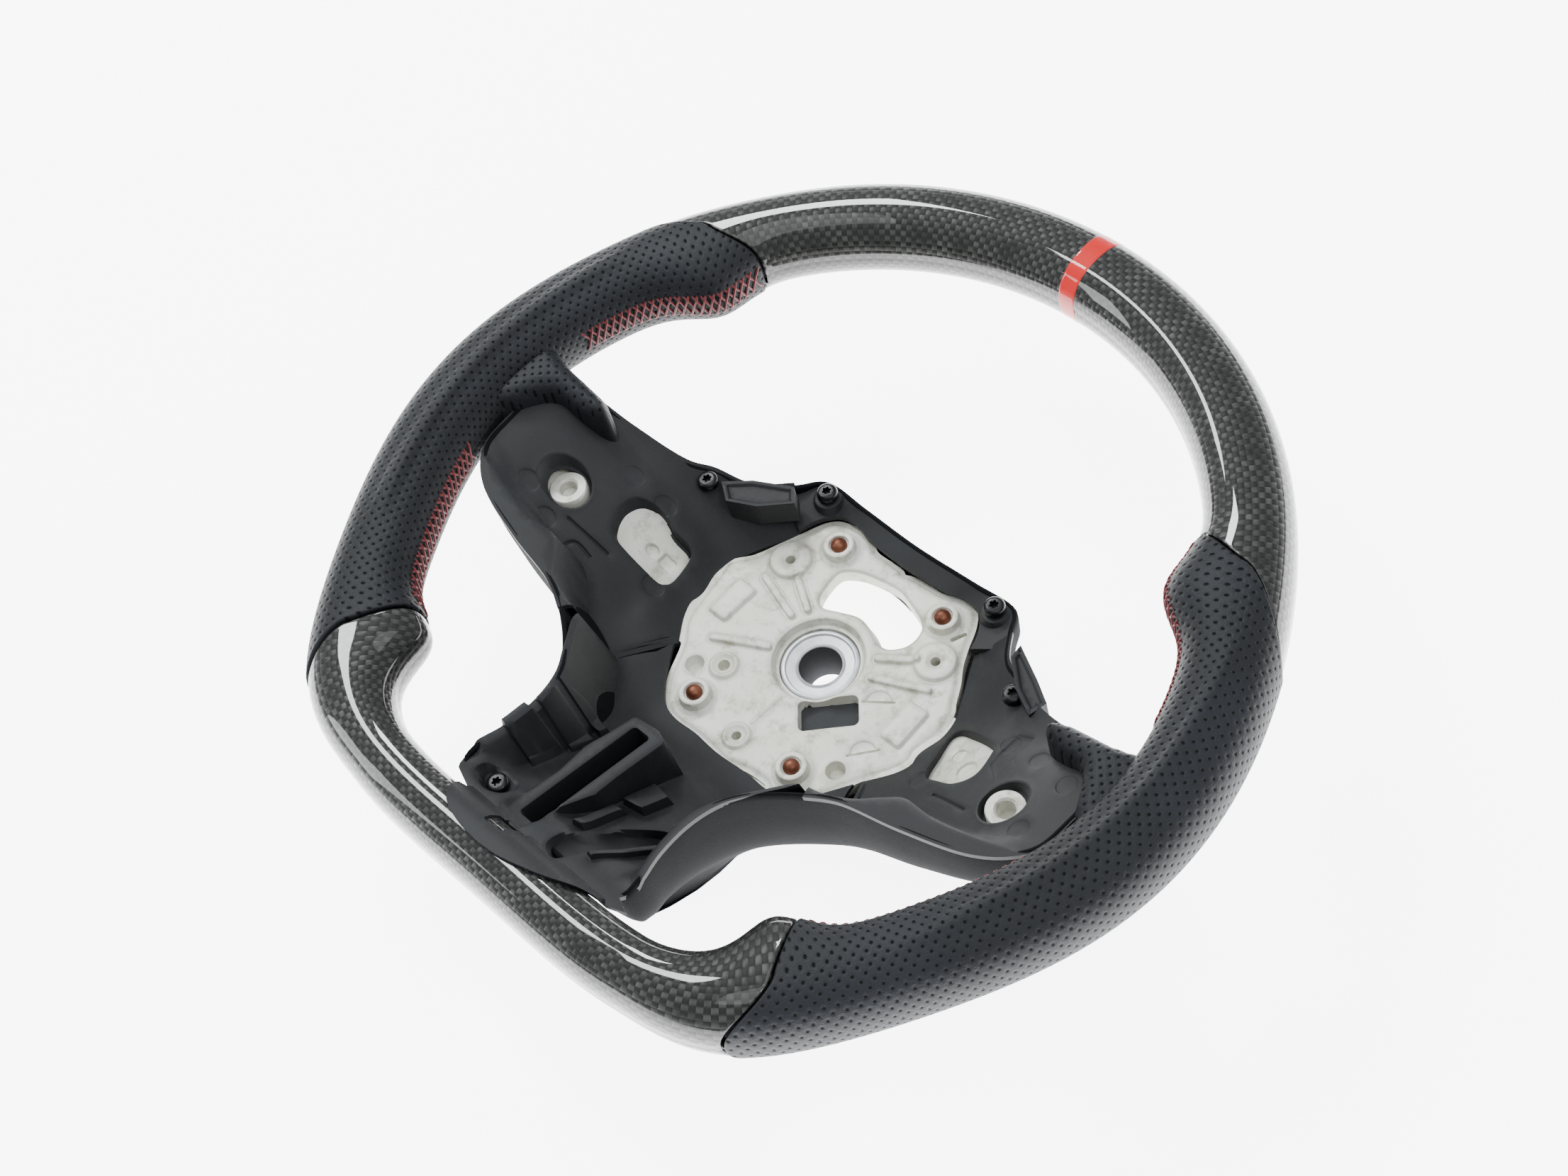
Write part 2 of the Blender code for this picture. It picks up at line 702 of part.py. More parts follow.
def build_rear_cover():
    """Rear shell: a bowl with a skirt that rises to the ridge, open in the middle for the column."""
    ridge = list(RIDGE_HALF) + mirrored(RIDGE_HALF[1:-1])[::-1]
    ridge = np.array(ridge)
    plan = ridge[:, :2]
    before, after = np.roll(plan, 1, axis=0), np.roll(plan, -1, axis=0)
    along = after - before
    along /= np.linalg.norm(along, axis=1)[:, None]
    inward = np.stack([along[:, 1], -along[:, 0]], axis=1)
    reach = np.linalg.norm(plan, axis=1)
    unit = plan / reach[:, None]

    def ring(offset, height):
        moved = plan + inward * offset
        return [(x, y, z) for (x, y), z in zip(moved, height)]

    def round_ring(radius, height):
        return [(radius * u, radius * v, height) for u, v in unit]

    top = ridge[:, 2]
    skirt = top - 14.0
    belly = 10.0 + 0.30 * np.maximum(reach - 55.0, 0.0)
    rings = [
        ring(0.0, top),
        ring(0.4, skirt),
        ring(BELLY_INSET, belly),
        round_ring(46.0, 0.0),
        round_ring(30.0, 0.0),
        round_ring(30.0, COVER_WALL),
        round_ring(45.0, COVER_WALL),
        ring(BELLY_INSET + 2.0, belly + COVER_WALL),
        ring(0.4 + COVER_WALL, skirt),
        ring(COVER_WALL, top),
    ]
    cover = add_object("rear_cover", loops(rings, closed=True), "plastic")
    combine(cover, prism(hub_window(1.0), -5.0, 15.0), "DIFFERENCE")
    cut_arm_slots(cover, 2)
    notches = []
    for x, y, z in (*SCREWS.values(), *mirrored(SCREWS.values()), LOWER_SCREW):
        notches.append(disc(x, y, LUG_RADIUS + GAP, z - LUG_DEPTH - GAP, z + 30.0))
    combine(cover, joined(*notches), "DIFFERENCE")


def screw(name, x, y, z):
    head = [(4.2, 0.0), (4.2, 2.6), (3.6, 3.2)]
    rings = [[(px, py, z - 8.0) for px, py in circle(x, y, 1.6, 12)]]
    rings.append([(px, py, z) for px, py in circle(x, y, 1.6, 12)])
    rings += [[(px, py, z + up) for px, py in circle(x, y, radius, 12)] for radius, up in head]
    rings.append([(px, py, z + 3.2) for px, py in circle(x, y, 2.1, 12)])
    rings.append([(px, py, z + 1.4) for px, py in circle(x, y, 1.9, 12)])
    thing = add_object(name, loops(rings), "screw")
    shade_round(thing)


def build_screws():
    """Black socket screws that hold the rear cover to the casting and skins."""
    for place, (x, y, z) in SCREWS.items():
        for side, word in ((-1, "left"), (1, "right")):
            screw(f"cover_screw_{place}_{word}", side * x, y, z + GAP)
    x, y, z = LOWER_SCREW
    screw("cover_screw_lower", x, y, z + GAP)


def clear_scene():
    for thing in list(bpy.data.objects):
        bpy.data.objects.remove(thing, do_unlink=True)


clear_scene()
build_armature()
build_hub_insert()
build_contacts()
build_foam()
build_carbon()
build_leather()
build_stitching()
build_thumb_rests()
build_skins()
build_rear_cover()
build_screws()
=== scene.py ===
import math

import bmesh
import bpy
import numpy as np
from mathutils import Matrix, Vector
from mathutils.geometry import delaunay_2d_cdt
from mathutils.kdtree import KDTree


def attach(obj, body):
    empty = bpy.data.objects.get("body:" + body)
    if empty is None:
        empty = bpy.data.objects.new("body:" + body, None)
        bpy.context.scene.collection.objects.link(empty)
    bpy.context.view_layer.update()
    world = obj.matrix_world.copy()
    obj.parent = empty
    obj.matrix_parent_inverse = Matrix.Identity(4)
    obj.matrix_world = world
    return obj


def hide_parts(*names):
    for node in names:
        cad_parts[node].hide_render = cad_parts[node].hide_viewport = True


# Flat-bottomed sports steering wheel. Lengths are in millimetres from the steering
# axis, +Z towards the driver and +Y to 12 o'clock; place() turns them into metres.
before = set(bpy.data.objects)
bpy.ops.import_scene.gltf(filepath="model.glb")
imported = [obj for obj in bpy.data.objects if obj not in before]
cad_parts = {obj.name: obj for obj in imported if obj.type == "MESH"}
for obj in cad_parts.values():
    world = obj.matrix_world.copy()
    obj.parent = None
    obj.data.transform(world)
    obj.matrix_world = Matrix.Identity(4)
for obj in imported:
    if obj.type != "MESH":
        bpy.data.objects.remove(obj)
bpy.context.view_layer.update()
mm = 0.001
axisY = -13.0  # the steering axis in the model's frame
bothSides = ((1, "right"), (-1, "left"))


def report(stage):
    print("stage:", stage)


# ---- shader building ----
class Wire:
    # one output of a node; arithmetic on it adds Math nodes
    def __init__(self, finish, socket):
        self.finish = finish
        self.socket = socket

    def calc(self, operation, *values):
        return self.finish.add("ShaderNodeMath", {"operation": operation}, dict(enumerate(values)))[0]

    def __add__(self, other):
        return self.calc("ADD", self, other)

    def __radd__(self, other):
        return self.calc("ADD", other, self)

    def __sub__(self, other):
        return self.calc("SUBTRACT", self, other)

    def __rsub__(self, other):
        return self.calc("SUBTRACT", other, self)

    def __mul__(self, other):
        return self.calc("MULTIPLY", self, other)

    def __rmul__(self, other):
        return self.calc("MULTIPLY", other, self)

    def __truediv__(self, other):
        return self.calc("DIVIDE", self, other)

    def low(self, other):
        return self.calc("MINIMUM", self, other)

    def floor(self):
        return self.calc("FLOOR", self)

    def root(self):
        return self.calc("SQRT", self)

    def sine(self):
        return self.calc("SINE", self)

    def step(self, start, end):
        # 0 before start and 1 after end, with level ends
        sockets = {"Value": self, "From Min": start, "From Max": end}
        return self.finish.add("ShaderNodeMapRange", {"interpolation_type": "SMOOTHSTEP"}, sockets)[0]


class Outputs:
    def __init__(self, finish, node):
        self.finish = finish
        self.node = node

    def __getitem__(self, key):
        return Wire(self.finish, self.node.outputs[key])


class Finish:
    # a material, with one method that adds any node
    def __init__(self, name, settings):
        self.material = bpy.data.materials.new(name)
        self.material.use_nodes = True
        self.tree = self.material.node_tree
        self.shader = self.tree.nodes["Principled BSDF"]
        self.fill(self.shader, settings)

    def fill(self, node, sockets):
        for key, value in sockets.items():
            if isinstance(value, Wire):
                self.tree.links.new(value.socket, node.inputs[key])
            else:
                node.inputs[key].default_value = value

    def add(self, kind, settings=None, sockets=None):
        node = self.tree.nodes.new(kind)
        for key, value in (settings or {}).items():
            setattr(node, key, value)
        self.fill(node, sockets or {})
        return Outputs(self, node)

    def paint(self, **sockets):
        names = {"colour": "Base Color", "rough": "Roughness", "metal": "Metallic", "normal": "Normal"}
        self.fill(self.shader, {names[key]: value for key, value in sockets.items()})
        return self.material

    def place(self):
        return self.add("ShaderNodeTexCoord")["Object"]

    def along(self):
        # millimetres along the rim and round its section
        uv = self.add("ShaderNodeUVMap", {"uv_map": "rimMillimetres"})["UV"]
        parts = self.add("ShaderNodeSeparateXYZ", None, {0: uv})
        return parts["X"], parts["Y"]

    def noise(self, size, detail=2.0, rough=0.5):
        # size is the width of one blotch in millimetres
        sockets = {"Vector": self.place(), "Scale": 1.0 / (size * mm), "Detail": detail, "Roughness": rough}
        return self.add("ShaderNodeTexNoise", None, sockets)[0]

    def cells(self, size):
        sockets = {"Vector": self.place(), "Scale": 1.0 / (size * mm)}
        return self.add("ShaderNodeTexVoronoi", {"feature": "F1"}, sockets)[0]

    def blend(self, share, first, second):
        mixed = self.add("ShaderNodeMix", {"data_type": "RGBA"}, {0: share, 6: first, 7: second})
        return mixed[2]

    def bump(self, height, depth, strength=1.0):
        # depth in millimetres is the rise of a height of 1
        sockets = {"Height": height, "Distance": depth * mm, "Strength": strength}
        return self.add("ShaderNodeBump", None, sockets)[0]


def rgb(red, green, blue):
    # a colour as painted on a chart of 0 to 255, made linear
    parts = [value / 255 for value in (red, green, blue)]
    return tuple(p / 12.92 if p < 0.04045 else ((p + 0.055) / 1.055) ** 2.4 for p in parts) + (1.0,)


carbonLook = {
    "tow": 2.3,  # width of one tow of the weave
    "dark": rgb(3, 3, 3),
    # painted sheen: the colour the upper tows take where they reflect the lamps
    "light": rgb(76, 78, 75),
    "coatRoughness": 0.025,
}
leatherLook = {
    "colour": rgb(24, 26, 30),
    "worn": rgb(31, 33, 38),
    # painted shade inside each perforation, which is only a bump in the surface
    "hole": rgb(2, 2, 3),
    "pitch": 4.5,  # between holes along the rim; a second set lies half a pitch off
    "holeRadius": 0.52,
}
plasticLook = {"colour": rgb(28, 29, 32), "dusty": rgb(42, 44, 48)}
coverLook = {"colour": rgb(17, 18, 20), "dusty": rgb(24, 26, 28)}
# painted shade for faces deep inside openings, with random lighter smudges
paintedShadeLook = {"colour": rgb(58, 59, 61), "dusty": rgb(72, 73, 76)}
magnesiumLook = {"colour": rgb(208, 208, 196), "stain": rgb(146, 141, 118), "bright": rgb(232, 233, 229)}


def carbonFinish():
    look = carbonLook
    settings = {
        "Coat Weight": 0.75,
        "Coat Roughness": look["coatRoughness"],
        "Coat IOR": 1.5,
        "Specular IOR Level": 0.15,
    }
    f = Finish("clearCoatedCarbon", settings)
    u, v = f.along()
    wobble = f.noise(30.0, 1.0)
    cu = (u + wobble * 0.8) / look["tow"]
    cv = (v + wobble * 0.8) / look["tow"]
    iu, iv = cu.floor(), cv.floor()
    across, down = cu - iu - 0.5, cv - iv - 0.5
    pair = (iu + iv) / 2
    over = (pair - pair.floor()) * 2  # 1 where the lengthwise tow is on top
    bowU, bowV = 1 - 4 * across * across, 1 - 4 * down * down
    crown = over * bowV + (1 - over) * bowU
    bow = over * bowU + (1 - over) * bowV
    strands = ((over * down + (1 - over) * across) * 42.0).sine() * 0.5 + 0.5
    # painted sheen: where the lengthwise tow is on top it is painted towards the light colour in random
    # patches, brightest on its crown, as if it reflected the lamps
    sheen = f.noise(9.0, 2.0)
    share = (0.05 + 1.5 * over * sheen * sheen + 0.1 * strands) * (0.4 + 0.6 * crown)
    colour = f.blend(share, look["dark"], look["light"])
    height = crown * 0.5 + bow * 0.9 + strands * 0.06
    return f.paint(colour=colour, rough=0.5 - 0.14 * over, normal=f.bump(height, 0.16))


def leatherFinish():
    look = leatherLook
    f = Finish("perforatedLeather", {"Specular IOR Level": 0.22})
    u, v = f.along()
    gaps = []
    for shift in (0.0, 0.5):
        p = u / look["pitch"] + shift
        q = v / look["pitch"] + shift
        p, q = p - p.floor() - 0.5, q - q.floor() - 0.5
        gaps.append((p * p + q * q).root() * look["pitch"])
    near = gaps[0].low(gaps[1])
    hole = 1 - near.step(look["holeRadius"] - 0.14, look["holeRadius"] + 0.14)
    dimple = 1 - near.step(0.3, 1.5)
    grain = f.cells(0.75)
    fine = f.noise(0.4, 3.0)
    patches = f.noise(38.0, 3.0)
    base = f.blend(patches.step(0.35, 0.75), look["colour"], look["worn"])
    # painted shade fills each perforation
    colour = f.blend(hole, base, look["hole"])
    height = grain * 0.09 + fine * 0.05 - hole * 0.7 - dimple * 0.16
    return f.paint(colour=colour, rough=0.5 + 0.12 * fine + 0.3 * hole, normal=f.bump(height, 1.0, 0.8))


def plasticFinish(name, grain, depth, dust=0.5, shine=0.32, roughness=0.48, look=plasticLook):
    f = Finish(name, {"Specular IOR Level": shine})
    pits = f.cells(grain)
    fine = f.noise(grain * 0.5, 2.0)
    smudge = f.noise(26.0, 4.0, 0.6)
    specks = f.noise(0.9, 1.0).step(0.74, 0.8)
    share = smudge.step(0.4, 0.8) * dust
    colour = f.blend(share, look["colour"], look["dusty"])
    colour = f.blend(specks * 0.12, colour, rgb(90, 92, 94))
    rough = roughness + 0.16 * smudge + 0.08 * fine
    return f.paint(colour=colour, rough=rough, normal=f.bump(pits * 0.7 + fine * 0.3, depth))


def magnesiumFinish():
    look = magnesiumLook
    f = Finish("castMagnesium", {"Specular IOR Level": 0.5})
    skin = f.noise(1.1, 4.0, 0.6)
    flow = f.noise(14.0, 5.0, 0.65)
    stains = f.noise(7.0, 4.0, 0.7).step(0.44, 0.72)
    colour = f.blend(flow.step(0.35, 0.7), look["colour"], look["bright"])
    colour = f.blend(stains * 0.75, colour, look["stain"])
    height = skin * 0.5 + flow * 0.8
    return f.paint(colour=colour, rough=0.42 + 0.2 * flow, metal=0.22, normal=f.bump(height, 0.22))


def metalFinish(name, colour, tint, roughness, metal, grain=0.5, depth=0.03):
    f = Finish(name, {})
    fine = f.noise(grain, 3.0)
    broad = f.noise(5.0, 3.0)
    mixed = f.blend(broad.step(0.35, 0.7), colour, tint)
    rough = roughness + 0.15 * (broad - 0.5)
    return f.paint(colour=mixed, rough=rough, metal=metal, normal=f.bump(fine, depth))


def threadFinish():
    f = Finish("redThread", {"Sheen Weight": 0.3})
    fuzz = f.noise(0.35, 2.0)
    broad = f.noise(6.0, 2.0)
    colour = f.blend(fuzz, rgb(76, 2, 9), rgb(126, 5, 16))
    colour = f.blend(broad.step(0.5, 0.8) * 0.3, colour, rgb(70, 4, 12))
    return f.paint(colour=colour, rough=0.62 + 0.1 * fuzz, normal=f.bump(fuzz, 0.12))


def markerFinish():
    f = Finish("redMarker", {"Coat Weight": 0.7, "Specular IOR Level": 0.2, "Coat Roughness": 0.03})
    broad = f.noise(3.0, 2.0)
    colour = f.blend(broad, rgb(196, 8, 6), rgb(214, 14, 10))
    return f.paint(colour=colour, rough=0.45 + 0.1 * broad)


report("finishes")
finishes = {
    "carbon": carbonFinish(),
    "leather": leatherFinish(),
    "skin": plasticFinish("mouldedSkin", 0.55, 0.035),
    "cover": plasticFinish("grainedCover", 0.85, 0.1, 0.25, 0.05, 0.7, coverLook),
    "magnesium": magnesiumFinish(),
    # painted shade, given by darken() to faces deep inside openings
    "bore": plasticFinish("paintedShadeGrey", 0.6, 0.03, 0.5, 0.05, 0.7, paintedShadeLook),
    "steel": metalFinish("turnedSteel", rgb(188, 190, 196), rgb(206, 208, 212), 0.42, 0.55),
    "copper": metalFinish("copperPin", rgb(92, 50, 34), rgb(134, 84, 62), 0.42, 0.6, 0.7, 0.08),
    "screw": metalFinish("blackOxide", rgb(24, 24, 26), rgb(38, 38, 40), 0.3, 0.7),
    "thread": threadFinish(),
    "marker": markerFinish(),
}


# ---- meshes ----
def place(points):
    points = np.asarray(points, float)
    return (points + (0.0, axisY, 0.0)) * mm


def addPiece(name, vertices, faces, finish, replaced, slot, angle=35.0):
    mesh = bpy.data.meshes.new(name)
    mesh.from_pydata(place(vertices).tolist(), [], faces)
    work = bmesh.new()
    work.from_mesh(mesh)
    bmesh.ops.recalc_face_normals(work, faces=work.faces)
    work.to_mesh(mesh)
    work.free()
    for polygon in mesh.polygons:
        polygon.use_smooth = True
    mesh.set_sharp_from_angle(angle=math.radians(angle))
    mesh.materials.append(finishes[finish])
    piece = bpy.data.objects.new(name, mesh)
    bpy.context.scene.collection.objects.link(piece)
    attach(piece, "root")
    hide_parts(*replaced)
    return piece


def gridFaces(rows, count, wrap, base=0):
    faces = []
    for k in range(rows - 1):
        for i in range(count if wrap else count - 1):
            j = (i + 1) % count
            here, above = base + k * count, base + (k + 1) * count
            faces.append((here + i, here + j, above + j, above + i))
    return faces


def layUv(mesh, faces, uvOf):
    # uvOf gives the place of each corner of each face, in millimetres
    layer = mesh.uv_layers.new(name="rimMillimetres")
    index = 0
    for polygon in mesh.polygons:
        for corner in uvOf(polygon):
            layer.data[index].uv = corner
            index += 1


def loft(rings, closedRings=False):
    # rings of equal length make one closed skin
    count = len(rings[0])
    vertices = [p for ring in rings for p in ring]
    faces = gridFaces(len(rings), count, True)
    if closedRings:
        base = (len(rings) - 1) * count
        faces += [(base + i, base + (i + 1) % count, (i + 1) % count, i) for i in range(count)]
    else:
        faces.append(tuple(range(count))[::-1])
        faces.append(tuple(range(len(vertices) - count, len(vertices))))
    return vertices, faces


def combined(*solids):
    vertices, faces = [], []
    for moreVertices, moreFaces in solids:
        base = len(vertices)
        vertices += [tuple(v) for v in moreVertices]
        faces += [tuple(base + i for i in face) for face in moreFaces]
    return vertices, faces


def turned(x, y, profile, sides=48):
    # a turned solid about an upright axis from (radius, height) points
    rings = []
    for radius, height in profile:
        turn = [2 * math.pi * i / sides for i in range(sides)]
        rings.append([(x + radius * math.cos(t), y + radius * math.sin(t), height) for t in turn])
    return loft(rings)


# ---- rim ----
rim = {
    "radius": 166.0,
    "flatY": -143.3,
    "corner": 20.0,  # more makes the two lower corners sharper
    "waves": (4.3, -1.1, 1.7, 0.4, -1.4, 0.5),  # swing of the radius at 2, 3, 4... turns round the rim
    "height": 81.9,
    "half": 16.2,  # half the width of the section
    "flatNarrowing": 3.6,  # how much less it is along the flat bottom
    "squareness": 2.35,  # 2 is an ellipse; more is squarer
    "swells": ((10.9, 56.5, 6.5), (12.1, 136.5, 6.0)),  # inward rise, middle and width in degrees
    "thickness": 16.0,  # from the mid plane to the front and to the back
    "gap": 0.16,  # degrees between a covering's end and the seam it meets
}


def smooth(value, start, end):
    t = np.clip((np.asarray(value, float) - start) / (end - start), 0, 1)
    return t * t * (3 - 2 * t)


def hump(value, middle, width):
    return np.exp(-(((np.asarray(value, float) - middle) / width) ** 2))


def rimCentre(a):
    turn = np.radians(a)
    sine, cosine = np.sin(turn), np.cos(turn)
    flat = np.where(cosine < -0.3, rim["flatY"] / np.where(cosine < -0.3, cosine, -1.0), 1e6)
    n = rim["corner"]
    radius = (rim["radius"] ** -n + flat**-n) ** (-1 / n)
    for k, swing in enumerate(rim["waves"]):
        radius = radius + swing * np.cos((k + 2) * turn)
    return np.stack([radius * sine, radius * cosine], -1)


def rimOut(a):
    along = rimCentre(np.asarray(a) + 0.2) - rimCentre(np.asarray(a) - 0.2)
    out = np.stack([-along[..., 1], along[..., 0]], -1)
    return out / np.linalg.norm(out, axis=-1, keepdims=True)


def rimSurface(a, around, rise=0.0):
    # a runs clockwise from 12 o'clock; around is 0 outside, 90 in front and 180 inside, all in degrees
    a, around = np.broadcast_arrays(np.asarray(a, float), np.asarray(around, float))
    half = np.abs((a + 180) % 360 - 180)
    flat = smooth(half, 142, 156)
    outer = rim["half"] - rim["flatNarrowing"] * flat
    (rise1, middle1, width1), (rise2, middle2, width2) = rim["swells"]
    inner = outer + rise1 * hump(half, middle1, width1) + rise2 * hump(half, middle2, width2)
    front = rim["thickness"] - 1.5 * flat + 1.5 * hump(half, 58, 9)
    back = rim["thickness"] - 1.0 * flat
    turn = np.radians(around)
    c, s = np.cos(turn), np.sin(turn)
    power = 2 / rim["squareness"]
    across = (np.where(c > 0, outer, inner) + rise) * np.sign(c) * np.abs(c) ** power
    up = (np.where(s > 0, front, back) + rise) * np.sign(s) * np.abs(s) ** power
    spot = rimCentre(a) + rimOut(a) * across[..., None]
    return np.concatenate([spot, (rim["height"] + up)[..., None]], -1)


def upperSeam(around):
    return 48.5 + 17.0 * ((1 + np.cos(np.radians(around))) / 2) ** 1.5


def lowerSeam(around):
    return 133.0 + 10.0 * ((1 + np.cos(np.radians(around))) / 2) ** 1.3


def rimSleeve(name, finish, start, end, rise, thick, edge, replaced, slot, seam=False, crease=0.0):
    # a length of the rim's covering: a closed wall whose ends are rolled over
    around = np.linspace(0, 360, 97)[:-1]
    first, last = start(around), end(around)
    length = abs(np.radians(last - first).mean()) * rim["radius"]
    inset = np.array([0.0, 0.12, 0.3, 0.6, 1.0, 1.6])
    middle = np.arange(3.0, length - 3.0, 2.2)
    stations = np.concatenate([inset, middle, length - inset[::-1]])
    share = stations / length
    fromEnd = np.minimum(stations, length - stations)
    roll = edge * (1 - np.sqrt(np.clip(1 - (1 - np.clip(fromEnd / 1.0, 0, 1)) ** 2, 0, 1)))
    places = first[None] + (last - first)[None] * share[:, None]
    lift = rise - roll[:, None] + np.zeros_like(places)
    if crease:  # a soft fold along the driver's side of the hide
        spot = np.abs(places)
        reach = smooth(spot, 62, 74) * (1 - smooth(spot, 112, 126))
        fold = 84 + 14 * np.sin(np.radians((spot - 60) * 2.6))
        lift = lift + crease * reach * hump(around[None], fold, 9)
    if seam:  # parting line of the two half shells, inside and outside
        for line in (0.0, 180.0):
            off = np.abs((around - line + 180) % 360 - 180)
            lift = lift - 0.28 * (off < 0.9)[None]
    outside = rimSurface(places, around[None], lift)
    inside = rimSurface(places, around[None], rise - thick)
    rows, count = places.shape
    vertices = np.concatenate([outside.reshape(-1, 3), inside.reshape(-1, 3)])
    base = rows * count
    faces = gridFaces(rows, count, True)
    faces += [tuple(reversed(face)) for face in gridFaces(rows, count, True, base)]
    for k in (0, rows - 1):
        for i in range(count):
            j = (i + 1) % count
            faces.append((k * count + i, k * count + j, base + k * count + j, base + k * count + i))
    piece = addPiece(name, vertices, faces, finish, replaced, slot, 50.0)
    section = rimSurface(90.0, np.linspace(0, 360, 97))
    girth = np.concatenate([[0], np.cumsum(np.linalg.norm(np.diff(section, axis=0), axis=1))])
    arc = np.radians(places) * rim["radius"]

    def corners(polygon):
        spots = []
        for vertex in polygon.vertices:
            k, i = divmod(vertex % base, count)
            spots.append((k, i))
        wraps = {i for _, i in spots} == {0, count - 1}
        return [(arc[k, i], girth[count if wraps and i == 0 else i]) for k, i in spots]

    layUv(piece.data, faces, corners)
    return piece


def buildRim():
    gap = rim["gap"]
    for side, word in bothSides:
        rimSleeve(
            f"leatherGrip{word.title()}", "leather",
            lambda p: side * (upperSeam(p) + gap), lambda p: side * (lowerSeam(p) - gap),
            rise=0.8, thick=2.2, edge=1.3, replaced=[f"leather_grip_{word}"], slot="leather", crease=2.0,
        )
    shell = {"rise": 0.0, "thick": 2.0, "edge": 0.7, "slot": "carbon", "seam": True}
    rimSleeve(
        "carbonTop", "carbon", lambda p: -upperSeam(p) + gap, lambda p: upperSeam(p) - gap,
        replaced=["carbon_top_front", "carbon_top_rear"], **shell,
    )
    rimSleeve(
        "carbonBottom", "carbon", lambda p: lowerSeam(p) + gap, lambda p: 360 - lowerSeam(p) - gap,
        replaced=["carbon_bottom_front", "carbon_bottom_rear"], **shell,
    )
    half = math.degrees(4.0 / rim["radius"])
    rimSleeve(
        "centreMarker", "marker", lambda p: -half + 0 * p, lambda p: half + 0 * p,
        rise=0.12, thick=1.0, edge=0.1, replaced=["centre_marker"], slot="marker",
    )


report("rim")
buildRim()


# ---- stitching ----
stitch = {
    "pitch": 3.3,  # along the seam
    "width": 4.6,  # half the width of the crossed threads
    "thread": 0.46,  # radius
    "lengths": {"upper": (49.5, 77.5), "lower": (104.0, 131.5)},
}


def tube(points, radius, sides=6):
    points = np.asarray(points, float)
    along = np.gradient(points, axis=0)
    along /= np.linalg.norm(along, axis=1, keepdims=True)
    up = np.array((0.0, 0.0, 1.0)) + np.zeros_like(points)
    side = np.cross(along, up)
    side /= np.linalg.norm(side, axis=1, keepdims=True)
    up = np.cross(side, along)
    turn = np.linspace(0, 2 * math.pi, sides + 1)[:-1]
    rings = []
    for p, s, u in zip(points, side, up):
        rings.append([tuple(p + radius * (math.cos(t) * u + math.sin(t) * s)) for t in turn])
    return loft(rings)


def buildStitching():
    # two rows of slanting threads that cross over the seam on the grip's inner side
    for side, word in bothSides:
        for spot, (first, last) in stitch["lengths"].items():
            solids = []
            length = math.radians(last - first) * 149.0
            count = int(length / stitch["pitch"])
            step = (last - first) / count
            spread = math.degrees(stitch["width"] / 17.0)
            for k in range(count):
                for lean in (1, -1):
                    t = np.linspace(0, 1, 9)
                    a = first + step * (k + 0.5 + 1.7 * (t - 0.5) * lean)
                    around = 176.0 + spread * (2 * t - 1)
                    rise = 0.8 + 0.42 + 0.2 * lean * np.sin(math.pi * t) - 1.0 * np.abs(2 * t - 1) ** 6
                    solids.append(tube(rimSurface(side * a, around, rise), stitch["thread"]))
            vertices, faces = combined(*solids)
            name = f"stitching{word.title()}{spot.title()}"
            addPiece(name, vertices, faces, "thread", [f"stitching_{word}_{spot}"], "thread", 80.0)


report("stitching")
buildStitching()


# ---- flat work: mouldings and castings drawn as an outline with raised and sunk features ----
def ccw(loop):
    loop = np.asarray(loop, float)
    x, y = loop[:, 0], loop[:, 1]
    area = (x * np.roll(y, -1) - np.roll(x, -1) * y).sum()
    return loop if area > 0 else loop[::-1]


def grown(loop, distance):
    along = np.roll(loop, -1, 0) - np.roll(loop, 1, 0)
    along /= np.maximum(np.linalg.norm(along, axis=1, keepdims=True), 1e-9)
    return loop + np.stack([along[:, 1], -along[:, 0]], 1) * distance


def curve(points, step=1.6, closed=True):
    # a smooth line through the points, evenly divided
    points = np.asarray(points, float)
    count = len(points)
    spots = []
    for i in range(count if closed else count - 1):
        if closed:
            p = [points[(i + k) % count] for k in (-1, 0, 1, 2)]
        else:
            p = [points[min(max(i + k, 0), count - 1)] for k in (-1, 0, 1, 2)]
        for t in np.linspace(0, 1, 12, endpoint=False):
            first = 2 * p[1] + (p[2] - p[0]) * t
            second = (2 * p[0] - 5 * p[1] + 4 * p[2] - p[3]) * t * t
            third = (3 * p[1] - p[0] - 3 * p[2] + p[3]) * t**3
            spots.append(0.5 * (first + second + third))
    spots.append(points[0] if closed else points[-1])
    spots = np.array(spots)
    length = np.concatenate([[0], np.cumsum(np.linalg.norm(np.diff(spots[:, :2], axis=0), axis=1))])
    many = max(8, int(length[-1] / step))
    at = np.linspace(0, length[-1], many + 1)
    if closed:
        at = at[:-1]
    return np.stack([np.interp(at, length, spots[:, k]) for k in range(spots.shape[1])], 1)


def ring(x, y, radius, sides=0):
    sides = sides or max(14, int(radius * 4))
    turn = np.linspace(0, 2 * math.pi, sides + 1)[:-1]
    return np.stack([x + radius * np.cos(turn), y + radius * np.sin(turn)], 1)


def box(x, y, length, width, turn=0.0, corner=1.0):
    # a rectangle with round corners, its length at the angle turn from X
    spots = []
    for cx, cy, start in ((1, 1, 0), (-1, 1, 90), (-1, -1, 180), (1, -1, 270)):
        for k in range(5):
            t = math.radians(start + 22.5 * k)
            along = cx * (length / 2 - corner) + corner * math.cos(t)
            across = cy * (width / 2 - corner) + corner * math.sin(t)
            spots.append((along, across))
    spots = np.array(spots)
    c, s = math.cos(math.radians(turn)), math.sin(math.radians(turn))
    spots = spots @ np.array(((c, s), (-s, c)))
    return divided(spots + (x, y))


def divided(loop, longest=2.5):
    # the same closed outline with its long sides divided
    spots = []
    for start, end in zip(loop, np.roll(loop, -1, 0)):
        many = max(1, int(math.ceil(np.linalg.norm(end - start) / longest)))
        for k in range(many):
            spots.append(start + (end - start) * k / many)
    return np.array(spots)


